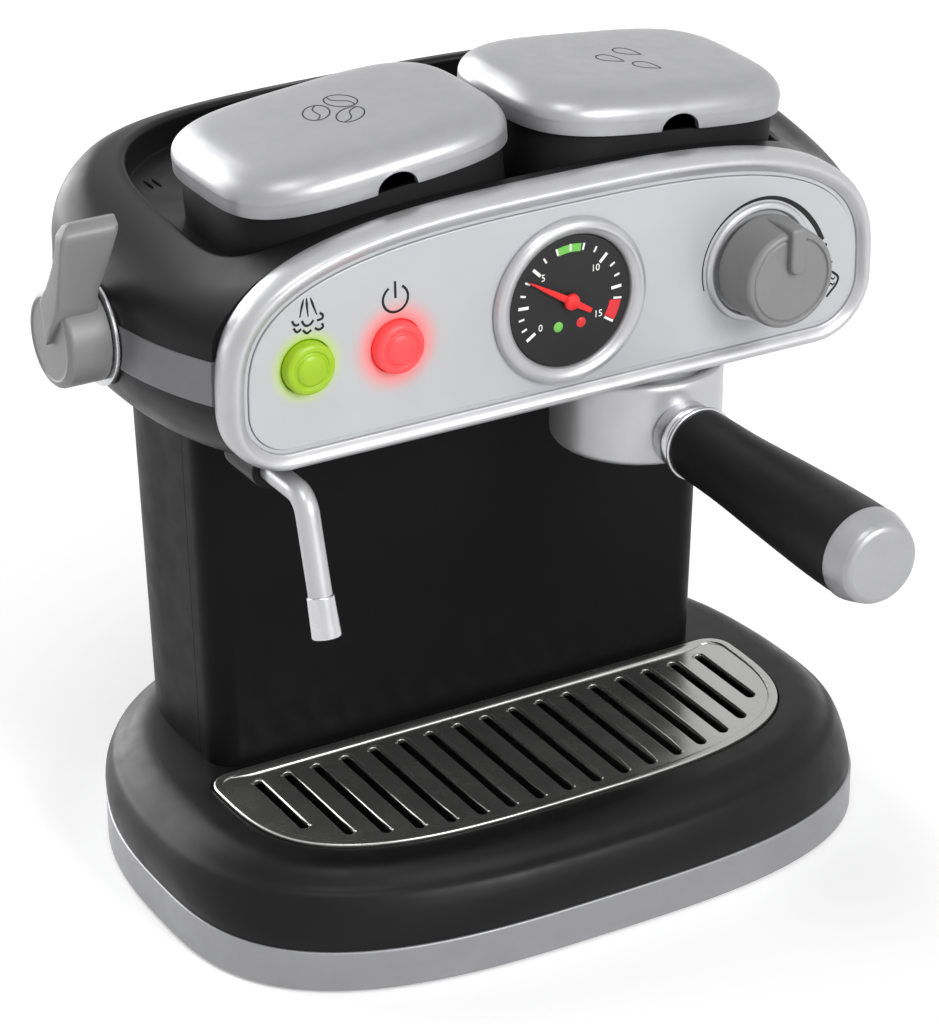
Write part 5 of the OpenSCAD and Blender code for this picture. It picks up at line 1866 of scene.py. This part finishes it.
@dataclass
class FilterHolder(Assembly):
    """The filter holder: a silver bowl, a handle with a turned ferrule, a black grip and a silver cap."""
    x: float = 40.7
    y: float = -33.0
    radius: float = 26.1
    low: float = 133.4
    top: float = 159.4
    bore: float = 22.6
    neck: tuple = (9.4, 23.6, 27.6)
    axis: float = 143.0
    ferrule_start: float = 27.4
    grip: tuple = (35.5, 81.75, 10.95, 13.9)
    cap: tuple = (9.3, 10.0)

    def bowl(self) -> Surface:
        """The bowl: its section goes from the spout hole up the rounded side to the rim and down inside, and
        a short neck leaves it towards the handle.

        Returns:
            The surfaces of bowl and neck.
        """
        r, z0, z1 = self.radius, self.low, self.top
        outer = bead(1.1, (3, z0 + 3.3), (3, z0), (r - 1.2, z0), (r, z0 + 1.2), (r, z1 - 1.4), (r - 1.2, z1),
                     (self.bore, z1), (self.bore, z0 + 3.3))
        bowl = turned(outer, standing(self.x, self.y), 144)
        r, y0, y1 = self.neck
        neck = turned(points((0, y0), (r, y0), (r, y1), (0, y1)), facing_front(self.x, self.y, self.axis), 64)
        return bowl + neck

    def handle(self, profile: Array) -> Surface:
        """A piece of the handle, turned about the axis that runs forwards from the bowl's middle."""
        return turned(profile, facing_front(self.x, self.y, self.axis), 112)

    def ferrule(self) -> Surface:
        """The ferrule: a collar at the bowl, a deep groove, and a narrow bright rim against the grip.

        Returns:
            The closed surface.
        """
        y0, y, r = self.ferrule_start, self.grip[0], self.grip[2]
        return self.handle(bead(
            0.6, (3.1, y0 - 2), (r - 0.6, y0 - 2), (r - 0.6, y0 + 2.6), (r - 0.9, y0 + 3.4),
            (r - 2.1, y0 + 4.2), (r - 2.1, y - 1.5), (r + 0.65, y - 1.3), (r + 0.65, y), (3.1, y)))

    def grip_body(self) -> Surface:
        """The grip: it widens slowly from ferrule to cap, with softened ends.

        Returns:
            The closed surface.
        """
        y, n, r0, r1 = self.grip
        side = smooth(points((r0 - 0.6, y + 0.02), (r0, y + 0.7), (r0 + 0.45, y + n*0.25),
                             ((r0 + r1)/2 + 0.1, y + n/2), (r1 - 0.2, y + n*0.8), (r1, y + n - 0.6),
                             (r1 - 0.4, y + n)), 5)
        return self.handle(np.vstack([[[0, y + 0.02]], side, [[0, y + n]]]))

    def end_cap(self) -> Surface:
        """The cap: a short band, a cone that runs in, a full round edge and a flat disc.

        Returns:
            The closed surface.
        """
        y0, r, face = self.grip[0] + self.grip[1], self.grip[3] + 0.15, self.cap[1]
        y1 = y0 + self.cap[0]
        side = smooth(points(
            (r - 0.5, y0 + 0.02), (r, y0 + 0.4), (r, y0 + 1.0), (r - 0.4, y0 + 2.8), (face + 2.5, y1 - 2.5),
            (face + 2.05, y1 - 1.5), (face + 1.3, y1 - 0.55), (face + 0.4, y1 - 0.08), (face, y1),
            (face - 1, y1)), 6)
        return self.handle(np.vstack([[[0, y0 + 0.02]], side, [[0, y1]]]))

    def build(self) -> None:
        """Makes bowl, ferrule, grip and cap."""
        body = "filter_holder"
        self.fit("filter_bowl", self.bowl(), SATIN_SILVER, body, "portafilter_bowl")
        self.fit("handle_collar", self.ferrule(), CHROME, body, "handle_ferrule")
        self.fit("handle_body", self.grip_body(), BLACK_GRIP, body, "handle_grip")
        self.fit("handle_end", self.end_cap(), SHADED_LID_SILVER, body, "handle_cap")


@dataclass
class SteamWand(Assembly):
    """The steam wand: a tube that runs forwards under the head, bends down and ends in a nozzle."""
    x: float = -86.5
    z: float = 153.7
    start: float = -24.5
    bend_at: float = -55.0
    bend: float = 7.0
    turn: float = 73.4
    drop: float = 24.5
    radius: float = 3.5
    nozzle: float = 12.2
    sleeve: tuple = (3.6, 6.0, 18.0, -22.0)
    web_half: float = 4.0
    web: tuple = (-24.0, -38.0)
    rim: float = 161.2

    def path(self) -> Array:
        """The tube's middle line: straight, a bend, and a straight drop that leans forwards.

        Returns:
            Points of the line.
        """
        t = np.radians(np.linspace(0, self.turn, 22))
        run = np.column_stack([np.linspace(self.start, self.bend_at, 8)[:-1], np.full(7, self.z)])
        bend = np.column_stack([self.bend_at - self.bend*np.sin(t), self.z - self.bend*(1 - np.cos(t))])
        way = np.array([-np.cos(t[-1]), -np.sin(t[-1])])
        fall = bend[-1] + np.linspace(0.5, self.drop - 1, 10)[:, None]*way
        line = np.vstack([run, bend, fall])
        return np.column_stack([np.full(len(line), self.x), line])

    def tip(self) -> Surface:
        """The nozzle: a slightly flared sleeve with softened ends and a bore.

        Returns:
            The closed surface.
        """
        line = self.path()
        way = unit(line[-1:] - line[-2:-1])[0]
        place = Place(line[-1], (1, 0, 0), np.cross(way, (1, 0, 0)), way)
        r, n = self.radius + 0.8, self.nozzle
        bore = self.radius - 0.6
        section = bead(0.5, (bore, 0), (r - 0.3, 0), (r, n), (1.6, n), (1.6, 2), (bore, 1))
        return turned(section, place, 64)

    def socket(self) -> Surface:
        """The socket: a sleeve under the head with a web that joins it to the rim.

        Returns:
            The surfaces of sleeve and web.
        """
        r0, r1, n, back = self.sleeve
        sleeve = turned(bead(0.5, (r0, 0), (r1, 0), (r1, n), (r0, n)), facing_front(self.x, back, self.z), 64)
        w, z = self.web_half, self.z + 3
        outline = points((-w, z), (w, z), (w, self.rim), (-w, self.rim))
        return sleeve + skin([upright(outline + [self.x, 0], y) for y in self.web])

    def build(self) -> None:
        """Makes tube, nozzle and socket."""
        self.fit("wand_pipe", along(self.path(), circle(self.radius, 48), (1, 0, 0)), SATIN_SILVER,
                 "steam_wand", "wand_tube")
        self.fit("wand_tip", self.tip(), CHROME, "steam_wand", "wand_nozzle")
        self.fit("wand_mount", self.socket(), BLACK_SHELL, "housing", "wand_socket")


@dataclass
class InnerWorks(Assembly):
    """The solids inside and below, which keep their own meshes and get their finishes."""
    finishes: dict = field(default_factory=lambda: {
        "rubber_feet": RUBBER, "base_screws": STEEL, "battery_box": BLACK_MATTE, "battery_cells": CELL_WRAP,
        "battery_contacts": NICKEL, "battery_door": BRUSHED_SILVER, "door_screw": STEEL, "speaker": BLACK_MATTE,
        "tower_screws": STEEL, "knob_shaft": WHITE_PLASTIC, "valve_body": WHITE_PLASTIC, "water_hose": HOSE,
        "group_head": SATIN_SILVER, "button_board": BOARD, "button_lamps": LAMP, "lever_shaft": WHITE_PLASTIC,
        "lid_pins": STEEL, "handle_screw": STEEL})

    def build(self) -> None:
        """Dresses each solid."""
        for node, finish in self.finishes.items():
            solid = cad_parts[node]
            solid.data.materials.clear()
            solid.data.materials.append(finish.material())
            self.pieces.append(solid)


@dataclass
class Studio:
    """The floor, the lamps and the camera."""
    azimuth: float = -30.227
    elevation: float = 26.130
    lens: float = 131.74
    spot: tuple = (-0.5210, -0.8974, 0.6110)
    aim: tuple = (0.0, 0.0, 0.12)
    floor: float = -0.8
    floor_radius: float = 6000.0
    albedo: float = 0.8
    shine: tuple = (0.3, 0.8, 0.4, 1.8)
    sky: float = 0.35
    lamps: tuple = (("lamp_front", (0.35, -1.4, 0.9), 0.7, 18), ("lamp_above", (-0.35, -0.5, 1.5), 0.5, 4.5),
                    ("lamp_behind", (-0.54, 1.5, 0.52), 1.5, 35))

    def camera(self) -> None:
        """Sets the camera where the view is taken from."""
        a, e = np.radians(self.azimuth), np.radians(self.elevation)
        back = np.array([np.sin(a)*np.cos(e), -np.cos(a)*np.cos(e), np.sin(e)])
        right = np.array([np.cos(a), np.sin(a), 0.0])
        up = np.cross(back, right)
        data = bpy.data.cameras.new("camera")
        data.lens, data.sensor_fit, data.sensor_height = self.lens, "VERTICAL", 36.0
        data.clip_start, data.clip_end = 0.01, 50
        eye = bpy.data.objects.new("camera", data)
        turn = np.eye(4)
        turn[:3] = np.column_stack([right, up, back, self.spot])
        eye.matrix_world = Matrix(turn.tolist())
        bpy.context.scene.collection.objects.link(eye)
        bpy.context.scene.camera = eye

    def ground(self) -> None:
        """Lays a plain pale floor, which shines a little more towards its far parts where it is seen."""
        outline = circle(self.floor_radius, 96)
        floor = make("floor", Surface(level(outline, self.floor), [list(range(96))]), normals=False)
        bench = NodeBench("floor_white")
        bench.set(roughness=0.9, specular=0.0, glow_colour=(1, 1, 1, 1))
        bench.shader.inputs["Base Color"].default_value = (*[self.albedo]*3, 1)
        far = bench.span(bench.near((0, 0, 0)), *self.shine, soft=True)
        shown = bench.tree.nodes.new("ShaderNodeMath")
        shown.operation = "MULTIPLY"
        bench.link(far, shown.inputs[0])
        bench.link(self.seen(bench.tree, 0.0), shown.inputs[1])
        bench.link(shown.outputs[0], bench.shader.inputs["Emission Strength"])
        floor.data.materials.append(bench.material)

    def seen(self, tree: bpy.types.NodeTree, lighting: float) -> Socket:
        """A strength that is 1 where a surface is seen, reflected or seen through, and less where it lights
        the object.

        Args:
            tree: The node tree.
            lighting: Strength as a light.

        Returns:
            The strength.
        """
        path = tree.nodes.new("ShaderNodeLightPath")
        value = path.outputs["Is Camera Ray"]
        for name in ("Is Glossy Ray", "Is Transmission Ray"):
            larger = tree.nodes.new("ShaderNodeMath")
            larger.operation = "MAXIMUM"
            tree.links.new(value, larger.inputs[0])
            tree.links.new(path.outputs[name], larger.inputs[1])
            value = larger.outputs[0]
        span = tree.nodes.new("ShaderNodeMapRange")
        span.inputs["To Min"].default_value = lighting
        tree.links.new(value, span.inputs["Value"])
        return span.outputs["Result"]

    def world(self) -> None:
        """A white surround for the camera and for reflections, and a softer one that lights the object."""
        world = bpy.data.worlds.new("surround")
        world.use_nodes = True
        tree = world.node_tree
        sky = tree.nodes["Background"]
        sky.inputs["Color"].default_value = (1, 1, 1, 1)
        tree.links.new(self.seen(tree, self.sky), sky.inputs["Strength"])
        bpy.context.scene.world = world

    def lamp(self, name: str, spot: Point, size: float, power: float) -> None:
        """A square lamp that faces the middle of the object.

        Args:
            name: Its name.
            spot: Where it hangs, in metres.
            size: Its side in metres.
            power: Its power in watts.
        """
        data = bpy.data.lights.new(name, "AREA")
        data.size, data.energy = size, power
        lamp = bpy.data.objects.new(name, data)
        way = Vector(self.aim) - Vector(spot)
        lamp.rotation_euler = way.to_track_quat("-Z", "Y").to_euler()
        lamp.location = spot
        bpy.context.scene.collection.objects.link(lamp)

    def build(self) -> None:
        """Sets camera, floor, surround, lamps and view."""
        self.camera()
        self.ground()
        self.world()
        for lamp in self.lamps:
            self.lamp(*lamp)
        bpy.context.scene.view_settings.view_transform = "Standard"


def main() -> None:
    """Builds the sub-assemblies in order and reports each piece."""
    logging.basicConfig(level=logging.INFO, format="%(name)s: %(message)s")
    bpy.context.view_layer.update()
    Studio().build()
    base, tray = Base(), DripTray()
    base.build(tray)
    red = PushButton(x=-55.0, colour="red", finish=RED_CAP)
    others = [tray, Tower(), Head(), Panel(), Gauge(), Knob(), PushButton(), red, SideLever(),
              Hopper(side=Side.LEFT), Hopper(side=Side.RIGHT), FilterHolder(), SteamWand(), InnerWorks()]
    for assembly in others:
        assembly.build()
    for assembly in [base, *others]:
        assembly.report()


if __name__ == "__main__":
    main()
